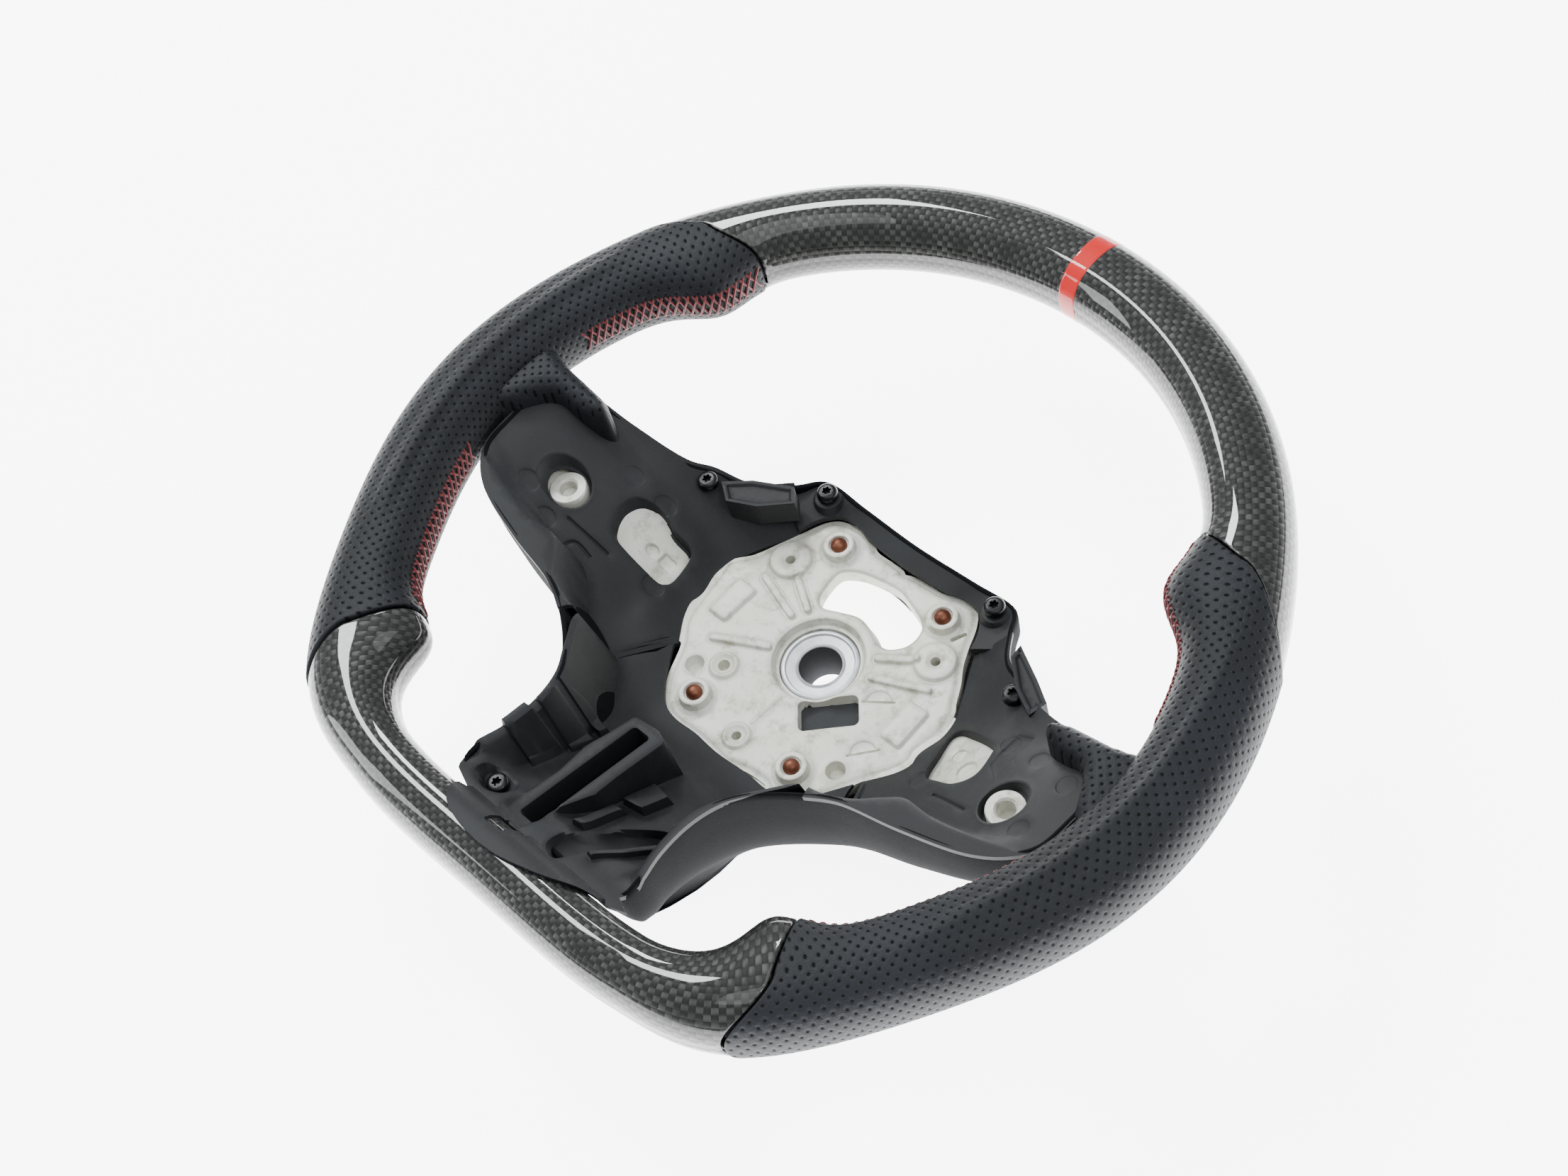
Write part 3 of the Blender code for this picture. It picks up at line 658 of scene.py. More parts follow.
def bar(x1, y1, x2, y2, width):
    # a strip with round ends
    length = math.hypot(x2 - x1, y2 - y1) + width
    turn = math.degrees(math.atan2(y2 - y1, x2 - x1))
    return box((x1 + x2) / 2, (y1 + y2) / 2, length, width, turn, width / 2 - 0.01)


def strip(points, width):
    # a band along an open line
    line = curve(points, 2.0, False)
    along = np.gradient(line, axis=0)
    along /= np.linalg.norm(along, axis=1, keepdims=True)
    side = np.stack([-along[:, 1], along[:, 0]], 1) * width / 2
    return np.concatenate([line + side, (line - side)[::-1]])


def gapTo(points, loop):
    # distance to a closed loop, negative inside
    result = np.empty(len(points))
    a, b = loop, np.roll(loop, -1, 0)
    e = b - a
    size = np.maximum((e * e).sum(1), 1e-12)
    for start in range(0, len(points), 4000):
        p = points[start : start + 4000]
        d = p[:, None] - a[None]
        t = np.clip((d * e[None]).sum(2) / size, 0, 1)
        gap = np.linalg.norm(d - t[..., None] * e[None], axis=2).min(1)
        above = (a[None, :, 1] > p[:, None, 1]) != (b[None, :, 1] > p[:, None, 1])
        slope = (b[:, 0] - a[:, 0]) / np.where(np.abs(b[:, 1] - a[:, 1]) < 1e-12, 1e-12, b[:, 1] - a[:, 1])
        crossing = above & (p[:, None, 0] < a[None, :, 0] + slope[None] * (p[:, None, 1] - a[None, :, 1]))
        inside = crossing.sum(1) % 2 == 1
        result[start : start + 4000] = np.where(inside, -gap, gap)
    return result


def flatAt(height):
    return lambda points: np.full(len(points), float(height))


def feature(loop, lift=None, level=None, draft=0.5, edge=0.35):
    # lift moves what is inside the loop up or down; level brings it to a height or a function of (x, y)
    return {"loop": ccw(loop), "lift": lift, "level": level, "draft": draft, "edge": edge}


def heightsOf(points, base, features):
    z = base(points)
    for f in features:
        gap = gapTo(points, f["loop"])
        near = gap < f["edge"] + 0.01
        spots, here = points[near], z[near]
        if f["level"] is None:
            aim = here + f["lift"]
        else:
            level = f["level"] if callable(f["level"]) else flatAt(f["level"])
            aim = level(spots)
        draft, edge = f["draft"], f["edge"]
        depth = np.maximum(np.abs(aim - here), 0.01)
        corner = np.minimum(0.3, 0.6 * edge / depth)
        g = gap[near]
        share = np.where(
            g > 0,
            corner * (1 - g / edge),
            np.where(
                g > -draft,
                corner + (1 - 2 * corner) * (-g / draft),
                1 - corner * np.clip((g + draft + edge) / edge, 0, 1),
            ),
        )
        z[near] = here + (aim - here) * np.clip(share, 0, 1)
    return z


def flatWork(outline, holes, features, base, spacing=2.6, wall=2.0, floor=None):
    # a closed solid: a fitted triangle mesh for the top, the same for the underside, and a wall between
    outline = ccw(outline)
    holes = [ccw(hole) for hole in holes]
    loops = [outline, *holes]
    for f in features:
        for distance in (f["edge"], 0.0, -f["draft"], -f["draft"] - f["edge"]):
            loops.append(grown(f["loop"], distance))
    points = np.concatenate(loops)
    edges, start = [], 0
    for loop in loops:
        edges += [(start + i, start + (i + 1) % len(loop)) for i in range(len(loop))]
        start += len(loop)
    tree = KDTree(len(points))
    for i, p in enumerate(points):
        tree.insert((p[0], p[1], 0.0), i)
    tree.balance()
    low, high = outline.min(0), outline.max(0)
    extra = []
    for row, y in enumerate(np.arange(low[1], high[1], spacing * 0.87)):
        for x in np.arange(low[0] + (row % 2) * spacing / 2, high[0], spacing):
            if tree.find((x, y, 0.0))[2] > spacing * 0.45:
                extra.append((x, y))
    extra = np.array(extra)
    extra = extra[gapTo(extra, outline) < -spacing * 0.3]
    points = np.concatenate([points, extra])
    made = delaunay_2d_cdt([Vector(p) for p in points], edges, [], 0, 1e-4)
    spots = np.array([tuple(v) for v in made[0]])
    faces = [face for face in made[2] if len(face) == 3]
    middles = np.array([spots[list(face)].mean(0) for face in faces])
    keep = gapTo(middles, outline) < 0
    for hole in holes:
        keep &= gapTo(middles, hole) > 0
    faces = [face for face, kept in zip(faces, keep) if kept]
    used = sorted({i for face in faces for i in face})
    order = {old: new for new, old in enumerate(used)}
    spots = spots[used]
    faces = [tuple(order[i] for i in face) for face in faces]
    top = heightsOf(spots, base, features)
    ground = base(spots)
    under = np.minimum(top, ground) - wall if floor is None else np.minimum(floor(spots), top - 0.6)
    count = len(spots)
    vertices = np.concatenate([np.column_stack([spots, top]), np.column_stack([spots, under])])
    sides = {}
    for face in faces:
        for i in range(3):
            a, b = face[i], face[(i + 1) % 3]
            if (b, a) in sides:
                del sides[(b, a)]
            else:
                sides[(a, b)] = True
    allFaces = list(faces) + [tuple(count + i for i in reversed(face)) for face in faces]
    allFaces += [(b, a, count + a, count + b) for a, b in sides]
    return vertices, allFaces


def surfaceThrough(controls):
    # a thin smooth sheet through the (x, y, z) points
    controls = np.array(controls, float)
    spots, heights = controls[:, :2], controls[:, 2]
    count = len(spots)

    def kernel(gap):
        return np.where(gap > 1e-9, gap**2 * np.log(np.maximum(gap, 1e-9)), 0.0)

    gap = np.linalg.norm(spots[:, None] - spots[None], axis=2)
    matrix = np.zeros((count + 3, count + 3))
    matrix[:count, :count] = kernel(gap) + np.eye(count) * 2.0
    matrix[:count, count] = matrix[count, :count] = 1
    matrix[:count, count + 1 :] = spots
    matrix[count + 1 :, :count] = spots.T
    weights = np.linalg.solve(matrix, np.concatenate([heights, np.zeros(3)]))

    def sheet(points):
        gap = np.linalg.norm(points[:, None] - spots[None], axis=2)
        return kernel(gap) @ weights[:count] + weights[count] + points @ weights[count + 1 :]

    return sheet


# ---- casting ----
plate = {
    "top": 25.2,
    "outline": (
        (-35.8, 51.3), (-28.9, 52.7), (-21.4, 52.5), (-15.6, 49.1), (-8.5, 49), (-2.3, 49.1),
        (0.5, 47.9), (4.3, 49.3), (12, 49.9), (19.2, 50.3), (26.7, 52.6), (33.4, 52.4), (38, 46.8),
        (41.4, 38.8), (45.2, 31.2), (50, 24.5), (54.1, 17.3), (56.8, 13), (57.9, 3.9), (56.3, -6),
        (57.5, -11), (55.1, -17.4), (48.5, -27), (44.9, -34.8), (38.8, -43.9), (31.6, -50.1),
        (24.1, -51.9), (21.2, -50.4), (12.2, -51), (2.8, -53.3), (-10.9, -52.2), (-27.9, -52.2),
        (-34.9, -48.7), (-41.4, -40.4), (-47.1, -27.9), (-54.8, -17.8), (-57.6, -3.5), (-58.6, 5.5),
        (-60.1, 8.9), (-57.9, 13.3), (-53, 19.2), (-48.1, 30.5), (-43.2, 41.9), (-40.2, 47.8),
    ),
    "window": (
        (-21.4, 27), (-21.3, 34.2), (-16.3, 38.6), (-9.1, 41.1), (2.9, 42.8), (10.7, 41.2),
        (21.1, 37.1), (24.3, 32), (23.8, 25.2), (19, 19.4), (13.4, 18.5), (5.8, 21.6), (-0.5, 22.5),
        (-7.9, 19.9), (-15.1, 17.4), (-19.5, 20.2),
    ),
    "posts": ((27.5, 41.7), (-27.5, 41.7), (26.2, -41.2), (-26.2, -41.2)),
    "postTop": 30.2,
    "slotFloor": 20.4,  # bottom of the square-cornered opening below the hub
    "ribs": (
        (-39.7, -18.2, -19.3, -8), (-42.7, 14.4, -22.2, 8), (-31.1, 21.3, -18.8, 13.7),
        (18.4, 14.1, 30.7, 22.8), (22.1, 6.4, 43.1, 15.5),
    ),
}


def buildPlate():
    top = plate["top"]
    window = curve(plate["window"], 1.3)
    outline = grown(ccw(curve(plate["outline"], 1.3)), 1.2)
    features = [
        feature(grown(ccw(outline), -1.8), lift=0.7, draft=0.7),
        feature(window, lift=-0.9, draft=0.5, edge=0.3),
        feature(ring(0, 0, 18.4), lift=-3.6, draft=1.2, edge=0.6),
        feature(box(19.5, -14.9, 23.4, 13.4, 44.5, 2.4), level=plate["slotFloor"], draft=0.5, edge=0.4),
    ]
    for x1, y1, x2, y2 in plate["ribs"]:
        features.append(feature(bar(x1, y1, x2, y2, 5.2), lift=-0.5, draft=0.4))
        features.append(feature(bar(x1, y1, x2, y2, 3.5), lift=1.8, draft=0.5))
    features.append(feature(bar(-0.8, -36.2, 0, -21.3, 1.4), lift=0.45, draft=0.3, edge=0.2))
    for x, y, turn in ((-45.8, -1.2, 88.0), (46.0, -1.0, 92.0)):
        features.append(feature(box(x, y, 20.6, 12.0, turn, 2.2), lift=-0.3, draft=0.4))
        features.append(feature(box(x, y, 18.8, 10.2, turn, 1.8), lift=1.6, draft=0.7))
    for x, y in plate["posts"]:
        features.append(feature(ring(x, y, 8.2), lift=0.7, draft=0.8))
        features.append(feature(ring(x, y, 6.7), level=plate["postTop"], draft=0.7))
        features.append(feature(ring(x, y, 4.1), lift=-1.2, draft=0.3, edge=0.3))
    for x, y in ((-39.9, 26.1), (37.3, 26.3)):
        features.append(feature(ring(x, y, 9.6), lift=0.6, draft=0.7))
        features.append(feature(ring(x, y, 8.6), lift=1.3, draft=0.7))
        features.append(feature(ring(x, y, 3.4), lift=-0.7, draft=0.9, edge=0.3))
        features.append(feature(ring(x, y, 2.0), level=12.0, draft=0.3, edge=0.2))
    for x, y, radius, hole in ((-27.1, -24.7, 6.2, 2.4), (-1.3, -43.8, 6.0, 1.9)):
        features.append(feature(ring(x, y, radius), lift=1.2, draft=0.7))
        features.append(feature(ring(x, y, radius - 1.7), lift=-0.7, draft=0.8))
        features.append(feature(ring(x, y, hole), lift=-5.0, draft=0.8, edge=0.3))
    for x, y in ((-37.1, -31.2), (38.9, -31.2)):
        features.append(feature(ring(x, y, 5.2), lift=0.4, draft=0.7))
        features.append(feature(ring(x, y, 3.9), lift=-5.5, draft=0.8))
    for x, y, turn in ((31.5, 0.3, 36.0), (41.8, -19.2, 50.0)):
        arc = [math.radians(turn + t) for t in range(0, 181, 12)]
        spots = [(x + 5.2 * math.cos(t), y + 5.2 * math.sin(t)) for t in arc]
        features.append(feature(spots, lift=-0.7, draft=0.4, edge=0.2))
        c, s = math.cos(math.radians(turn)) * 6.0, math.sin(math.radians(turn)) * 6.0
        features.append(feature(bar(x - c, y - s, x + c, y + s, 1.0), lift=-0.9, draft=0.25, edge=0.15))
    features.append(feature(bar(35.5, 37.7, 37.7, 42.5, 1.5), level=14.0, draft=0.3, edge=0.2))
    holes = [grown(ccw(window), -0.9), ring(0, 0, 15.9, 64)]

    def base(points):
        reach = np.linalg.norm(points, axis=1)
        unevenness = 0.35 * np.cos(points[:, 0] / 9.0) * np.sin(points[:, 1] / 11.0)
        return top + unevenness - 0.006 * np.maximum(reach - 30, 0)

    solid = flatWork(outline, holes, features, base, 2.6, 2.0, flatAt(19.0))
    sleeve = loft([
        [(x, y, z) for x, y in ring(0, 0, radius, 64)]
        for radius, z in ((15.9, 1.5), (22.6, 1.5), (23.4, 2.4), (24.6, 19.4), (15.9, 19.4))
    ], True)
    return combined(solid, sleeve)


spokes = {
    "boss": (114.3, -15.2),
    "sideArm": (
        (46, -6, 24.5, 42, 5.5), (66, -8, 25.5, 40, 6), (96, -12, 46, 32, 6), (118, -13, 56, 28, 6),
        (134, -13, 66, 26, 6), (146, -13, 76, 24, 6), (160, -13, 84, 22, 6),
    ),
    "lowerArm": (
        (7, -46, 24.5, 32, 5.5), (7, -60, 23, 30, 6), (7, -88, 34, 26, 6), (7, -112, 45, 24, 6),
        (7, -130, 64, 22, 6), (7, -142, 83, 20, 6),
    ),
}


def armOf(stations, mirror, upright):
    rings = []
    for x, y, top, width, depth in stations:
        half = width / 2
        corners = ((-half, 0), (half, 0), (half, -depth), (-half, -depth))
        if upright:
            rings.append([(x + w, y, top + h) for w, h in corners])
        else:
            rings.append([(mirror * x, y + w, top + h) for w, h in corners])
    return loft(rings)


def pocketFloor(points):
    # the metal seen at the bottom of a spoke's pocket
    return floorAlong(np.abs(points[:, 0])) - 5.6


def buildCasting():
    solids = [buildPlate(), armOf(spokes["lowerArm"], 1, True)]
    for side in (-1, 1):
        solids.append(armOf(spokes["sideArm"], side, False))
        x, y = side * spokes["boss"][0], spokes["boss"][1]
        profile = (
            (7.6, 46.0), (7.6, 60.4), (7.2, 61.0), (4.4, 61.0), (3.6, 60.2), (3.4, 48.0),
            (3.4, 47.0),
        )
        solids.append(turned(x, y, profile))
        pocket = curve(skins["pocket"][side], 1.4)
        if side > 0:
            loops = (ring(74, 0, 3.2), ring(83, -5, 4.2))
            pits = [feature(loop, lift=-3.0, draft=0.8) for loop in loops]
        else:
            loops = (ring(-81, -8, 2.6), box(-75, -7, 5, 5, 0, 0.6))
            pits = [feature(loop, lift=-6.0, draft=0.3) for loop in loops]
        solids.append(flatWork(grown(ccw(pocket), 0.8), [], pits, pocketFloor, 2.6, 2.0))
    vertices, faces = combined(*solids)
    piece = addPiece("armatureCasting", vertices, faces, "magnesium", ["armature_casting"], "magnesium")
    # painted shade on the floor of the square-cornered slot below the hub
    slotLoop = ccw(box(19.5, -14.9, 22.6, 12.6, 44.5, 2.2))
    level = plate["slotFloor"]
    darken(piece, lambda x, y, z: abs(z - level) < 2.0 and gapTo(np.array([(x, y)]), slotLoop)[0] < 0)


def darken(piece, chosen):
    # painted shade: faces deep inside an opening take a dark grey that stands in for the shade there
    mesh = piece.data
    mesh.materials.append(finishes["bore"])
    for polygon in mesh.polygons:
        x, y, z = polygon.center / mm
        if abs(x) < 40 and abs(y) < 60 and chosen(x, y - axisY, z):
            polygon.material_index = 1


# ---- moulded skins ----
# ridge where skins and rear cover meet: right half, from 12 o'clock to 6 o'clock, as (x, y, z)
ridgeHalf = (
    (0, 58.5, 34), (28, 59.5, 34), (49, 60, 34), (57.5, 49.5, 37), (67.5, 37.5, 42), (82, 32, 47),
    (92, 26, 52), (111.5, 21, 63), (132.5, 16, 77), (143, 4, 82), (144, -13, 82), (141, -29, 82),
    (126, -42, 82), (100, -50, 81), (76.5, -55, 80), (64, -61, 78.5), (51, -71, 78.5),
    (43.5, -81, 79), (40.5, -94, 80), (41, -108.5, 81), (44, -120.5, 82), (41, -129, 80.5),
    (20, -131.5, 78.0), (0, -131.5, 78.0),
)
skins = {
    "tuck": 0.975,  # brings the inner edges in over the plate
    "fin": {  # raised blocks by the outer screws, with the height of their tops
        1: (((71.5, 35), (71, 41), (85.5, 33.5), (94.5, 28.2), (92.5, 20.7), (81.8, 26)), 53.0),
        -1: (((-76, 29), (-66, 37), (-50.5, 44.5), (-45, 39), (-56, 29), (-68, 23.5)), 46.5),
    },
    "floorAlong": (
        (40, 26), (57, 27), (62, 30), (72, 36), (82, 44), (92, 51.5), (104, 59), (114, 65.5),
        (126, 74), (136, 80), (150, 83),
    ),
    "sideInner": (
        (45.4, 43.9), (47.7, 38.7), (50.8, 32.2), (54.8, 25), (58.4, 17.8), (60.9, 12.4),
        (61.7, 3.2), (59.6, -6.7), (60.6, -11.9), (57.6, -19.4), (50.9, -29),
    ),
    "bossRecess": {1: (114, -15.3, 9.6), -1: (-114, -15.3, 9.6)},
    "pocket": {
        1: (
            (64.5, 6.2), (71, 9), (87.5, 6.2), (91.2, 1.5), (92.6, -8.5), (87.3, -14.6),
            (79.3, -15.7), (70.3, -14.6), (66.6, -4.5),
        ),
        -1: (
            (-93.6, 1.2), (-88, 4.6), (-82, 4.2), (-78, 2.8), (-71.5, 2.8), (-68.6, -0.5),
            (-67.4, -11), (-69, -15.4), (-74, -16.8), (-89.3, -16.7), (-93.8, -12.5), (-95.5, -5.5),
        ),
    },
    "marks": {
        1: ((112.5, 5.1), (131.5, -0.8), (95, 8), (70, -17.2), (129, -23)),
        -1: ((-122.3, -25.6), (-110, -31), (-86, 7.1), (-100, 6.2), (-70.6, -18.7)),
    },
}


def mirroredRidge():
    right = np.array(ridgeHalf, float)
    left = right[1:-1][::-1] * (-1, 1, 1)
    return np.concatenate([right, left])


ridgeSheet = surfaceThrough(mirroredRidge())


def floorAlong(x):
    spots = np.array(skins["floorAlong"], float)
    return np.interp(x, spots[:, 0], spots[:, 1])


report("casting")
buildCasting()


def sideSkin(side, word):
    inner = [(side * x * skins["tuck"], y * skins["tuck"]) for x, y in skins["sideInner"][1:]]
    edge = [(side * x, y) for x, y, _ in ridgeHalf[3:16]]
    border = curve(edge, 2.0, False)
    outline = np.concatenate([border, curve(inner[::-1], 2.0, False)])
    outline = ccw(outline)
    controls = [(side * x, y, 26.2) for x, y in skins["sideInner"]]
    for x in (70, 82, 94, 106, 118, 130, 142):
        for y in (-30, -18, -6, 6, 14):
            controls.append((side * x, y, float(floorAlong(x)) - (1.5 if y > 10 else 0)))
    controls += [(side * x, y, z + 0.8) for x, y, z in ridgeHalf[3:9]]
    controls += [(side * 62, -36, 33.0), (side * 66, -30, 34.0)]
    base = surfaceThrough(controls)
    foot = curve([
        (145, -23), (134, -26.5), (121, -30.5), (103.5, -34), (90, -34), (82, -40), (75, -47),
        (66, -51), (54, -52),
    ], 2.0, False)
    beyond = np.array(((40.0, -60.0), (60, -90), (170, -60), (170, -20)))
    flange = np.concatenate([foot, beyond]) * (side, 1)
    features = [feature(divided(flange, 2.6), level=lambda p: ridgeSheet(p) + 0.3, draft=4.5, edge=1.6)]
    x, y, radius = skins["bossRecess"][side]
    features.append(feature(ring(x, y, radius + 1.2), lift=0.3, draft=0.6))
    features.append(feature(ring(x, y, radius), lift=-6.0, draft=1.0, edge=0.7))
    pocket = curve(skins["pocket"][side], 1.2)
    features.append(feature(pocket, lift=-6.0, draft=0.7, edge=0.6))
    holes = [ring(x, y, radius - 2.0, 44), grown(ccw(pocket), -1.9)]
    for x, y in skins["marks"][side]:
        features.append(feature(ring(x, y, 4.1), lift=-0.45, draft=0.3, edge=0.15))
    if side > 0:
        sunk = np.array(((101.6, 13.8), (102.3, -8.4), (95, -3), (94, 13.0)))
        features.append(feature(divided(sunk), lift=-0.8, draft=0.4))
        features.append(feature(bar(83.2, -21.7, 101.1, -23.3, 1.3), lift=-1.0, draft=0.35, edge=0.2))
    else:
        features.append(feature(bar(-104.8, -24.7, -87.6, -23.3, 1.3), lift=-1.0, draft=0.35, edge=0.2))
        bent = strip([(-99.4, -34.2), (-97.3, -29.3), (-90.3, -29.4)], 1.4)
        features.append(feature(bent, lift=-1.0, draft=0.35, edge=0.2))
    # an even row of faces just inside the border
    features.append(feature(grown(outline, -2.0), lift=0.0, draft=0.5))
    under = features[:1]
    solid = flatWork(outline, holes, features, base, 2.6, 2.4, lambda p: heightsOf(p, base, under) - 2.4)
    loop, top = skins["fin"][side]
    outside = divided(ccw(loop), 2.4)
    dish = [feature(grown(outside, -1.6), lift=-1.2, draft=0.4)]
    fin = flatWork(outside, [], dish, flatAt(top), 2.4, 2.0, flatAt(top - 12.0))
    solid = combined(solid, fin)
    addPiece(f"spokeSkin{word.title()}", *solid, "skin", [f"spoke_skin_{word}"], "plastic")


lower = {
    "outlineHalf": (
        (50, -35.7), (58, -55.4), (51, -69.1), (43.6, -80.7), (40.6, -93.8), (41.1, -107.8),
        (44, -119.9), (43, -127.4), (41, -130.5),
    ),
    "plateHalf": (
        (1.5, -55.3), (14.4, -54.4), (25.3, -54.7), (33.6, -52.4), (41, -45.6), (47.4, -36.4),
        (51, -30.7),
    ),
    "lobe": (
        (48.6, -131.4), (37.1, -135.9), (26.6, -141.4), (16, -145), (4.1, -147.7), (-8.6, -148.1),
        (-21.5, -145.7), (-27.9, -141.2), (-33.2, -131.9),
    ),
    "slot": (-8.4, -101.2, 53.5, 8.2),  # centre, length along Y and width of the opening
    "slotRamp": (64.2, -73.6, 0.262),  # height of the frame round it, the Y it is met at, and slope
    "tube": (-148.1, 13.6, 15.4),  # the rim's tube under the lobe: far edge, half width and rise
    "frame": (
        (-17.6, -130.4), (-5.2, -133.4), (-2.2, -123.1), (-3.4, -118.3), (1.6, -104.8), (1.2, -94.2),
        (1.6, -71.3), (-4.9, -69.0), (-16.9, -70.6), (-18.2, -84.2), (-19.4, -92.1), (-17.5, -106.3),
        (-18.2, -121.9),
    ),
    "channel": ((7, -131), (14, -133), (19, -122), (27, -98), (21.5, -95.5), (9.5, -111), (6.5, -121)),
    "blocks": (  # outline and rise
        (((-30.5, -110), (-42, -108.5), (-41, -97), (-30.5, -96)), 4.0),
        (((-29.5, -94.5), (-40, -93.5), (-39.5, -84.5), (-29.5, -83.5)), 3.0),
        (((-27.5, -93), (-22.5, -92), (-23, -83), (-27.5, -83.5)), 5.0),
        (((-41, -82), (-30, -81.5), (-30, -77), (-39, -76)), 5.0),
        (((3, -118), (7.5, -117), (8, -100), (3, -101)), 5.0),
        (((3, -98), (12, -96), (12.5, -84), (3, -83)), 6.0),
        (((24, -93), (31, -98.5), (36.5, -86), (36.5, -78), (28, -79.5)), 7.0),
    ),
}


def slotTop(points):
    height, y, slope = lower["slotRamp"]
    return height + slope * (y - points[:, 1])


def overTube(points):
    # the bottom of the rim, which the lower spoke's end laps
    y, half, rise = lower["tube"]
    reach = np.clip((points[:, 1] - y) / half, -1, 1)
    power = rim["squareness"]
    return rim["height"] + rise * np.abs(1 - np.abs(reach) ** power) ** (1 / power)


def buildLowerSkin():
    right = lower["outlineHalf"]
    left = [(-x, y) for x, y in right]
    plateLine = [(-x, y) for x, y in lower["plateHalf"][::-1]] + list(lower["plateHalf"][1:])
    plateLine = [(x * skins["tuck"], y * skins["tuck"]) for x, y in plateLine]
    outline = np.concatenate([
        curve(plateLine, 2.0, False)[:-1],
        curve(right, 2.0, False)[:-1],
        curve(lower["lobe"], 2.0, False)[:-1],
        curve(left[::-1], 2.0, False)[:-1],
    ])
    outline = ccw(outline)
    controls = [(x, y, 27.5) for x, y in plateLine]
    for y, z in ((-62, 31.0), (-72, 39.0), (-84, 47.0), (-96, 55.0), (-108, 63.0), (-120, 71.0)):
        for x in (-32, -16, 0, 16, 32):
            controls.append((x, y, z))
    controls += [(x, y, 31.0) for x, y in ((50, -42), (-50, -42), (42, -54), (-42, -54))]
    sheet = surfaceThrough(controls)

    def base(points):
        share = smooth(-points[:, 1], 112, 134)
        flat = sheet(np.stack([points[:, 0], np.maximum(points[:, 1], -124)], 1))
        return flat * (1 - share) + (overTube(points) + 0.9) * share

    features = []
    for side in (1, -1):
        foot = curve([
            (63, -50), (54, -53), (46, -63), (37, -76), (31.5, -90), (32, -108), (34.5, -120),
            (35.5, -125),
        ], 2.0, False)
        flange = np.concatenate([foot, np.array(((70.0, -128.0), (90, -60), (72, -46)))]) * (side, 1)
        flange = divided(flange, 2.6)
        features.append(feature(flange, level=lambda p: ridgeSheet(p) + 0.3, draft=5.5, edge=1.6))
    for loop, rise in lower["blocks"]:
        features.append(feature(divided(ccw(loop), 2.4), lift=rise, draft=0.7, edge=0.4))
    features.append(feature(box(32.5, -85.5, 4.2, 4.2, -20, 0.5), lift=-6.0, draft=0.3, edge=0.2))

    def channel(points):
        # a round-bottomed trough beside the slot
        foot, tip = np.array((12.0, -130.0)), np.array((24.3, -96.5))
        along = (tip - foot) / np.linalg.norm(tip - foot)
        off = (points - foot) @ np.array((-along[1], along[0]))
        return base(points) - 1.0 - 6.0 * np.sqrt(np.clip(1 - (off / 6.8) ** 2, 0, 1))

    features.append(feature(curve(lower["channel"], 1.6), level=channel, draft=1.0, edge=0.6))
    wall = strip([(21.5, -124.5), (24.6, -112), (31.5, -98.5)], 3.2)
    features.append(feature(wall, lift=3.6, draft=0.6, edge=0.4))
    tray = curve([
        (-36.4, -127.5), (-36.6, -122), (-29, -118.6), (-21.4, -121), (-21.6, -127.2),
        (-28.4, -130.3),
    ], 1.6)
    features.append(feature(tray, level=73.2, draft=1.6, edge=0.6))
    features.append(feature(divided(ccw(lower["frame"]), 2.4), level=slotTop, draft=0.9, edge=0.8))
    x, y, length, width = lower["slot"]
    opening = box(x, y, length, width, 90, 1.6)
    features.append(feature(opening, level=lambda p: slotTop(p) - 20, draft=0.8, edge=0.5))
    features.append(feature(box(-5.2, -137.4, 8.8, 6.2, 3, 0.8), lift=-7, draft=0.5, edge=0.3))
    under = features[:2]
    solid = flatWork(outline, [], features, base, 2.6, 2.4, lambda p: heightsOf(p, base, under) - 2.4)
    addPiece("spokeSkinLower", *solid, "skin", ["spoke_skin_lower"], "plastic")


def buildTopStrip():
    inner = [
        (46.6, 38.4), (44.6, 44.5), (41.6, 49.4), (36.6, 53.6), (28.6, 54.4), (22, 52.6),
        (14.5, 51.8), (7, 51.4), (0, 51.2),
    ]
    inner += [(-x, y) for x, y in inner[:-1]][::-1]
    inner = [(x * skins["tuck"], y * skins["tuck"]) for x, y in inner]
    outer = [
        (-60, 45.5), (-56, 51), (-49, 58), (-28, 57.8), (0, 56.8), (28, 57.8), (49, 58), (56, 51),
        (60, 45.5),
    ]
    outline = np.concatenate([curve(inner, 2.0, False), curve(outer, 2.0, False)])
    controls = [(x, y, 29.5) for x, y in inner] + [(x, y, 33.5) for x, y in outer]
    base = surfaceThrough(controls)
    features = []
    for side in (-1, 1):
        features.append(feature(ring(side * 44, 54.2, 6.4), level=34.0, draft=0.8))
    solid = flatWork(outline, [], features, base, 2.2, 2.4)
    addPiece("hubTopStrip", *solid, "skin", ["hub_top_strip"], "plastic")


report("skins")
for side, word in bothSides:
    sideSkin(side, word)
buildLowerSkin()
buildTopStrip()


# ---- rear cover ----
cover = {"wall": 2.4, "hubOpening": 30.0, "lip": 1.1}


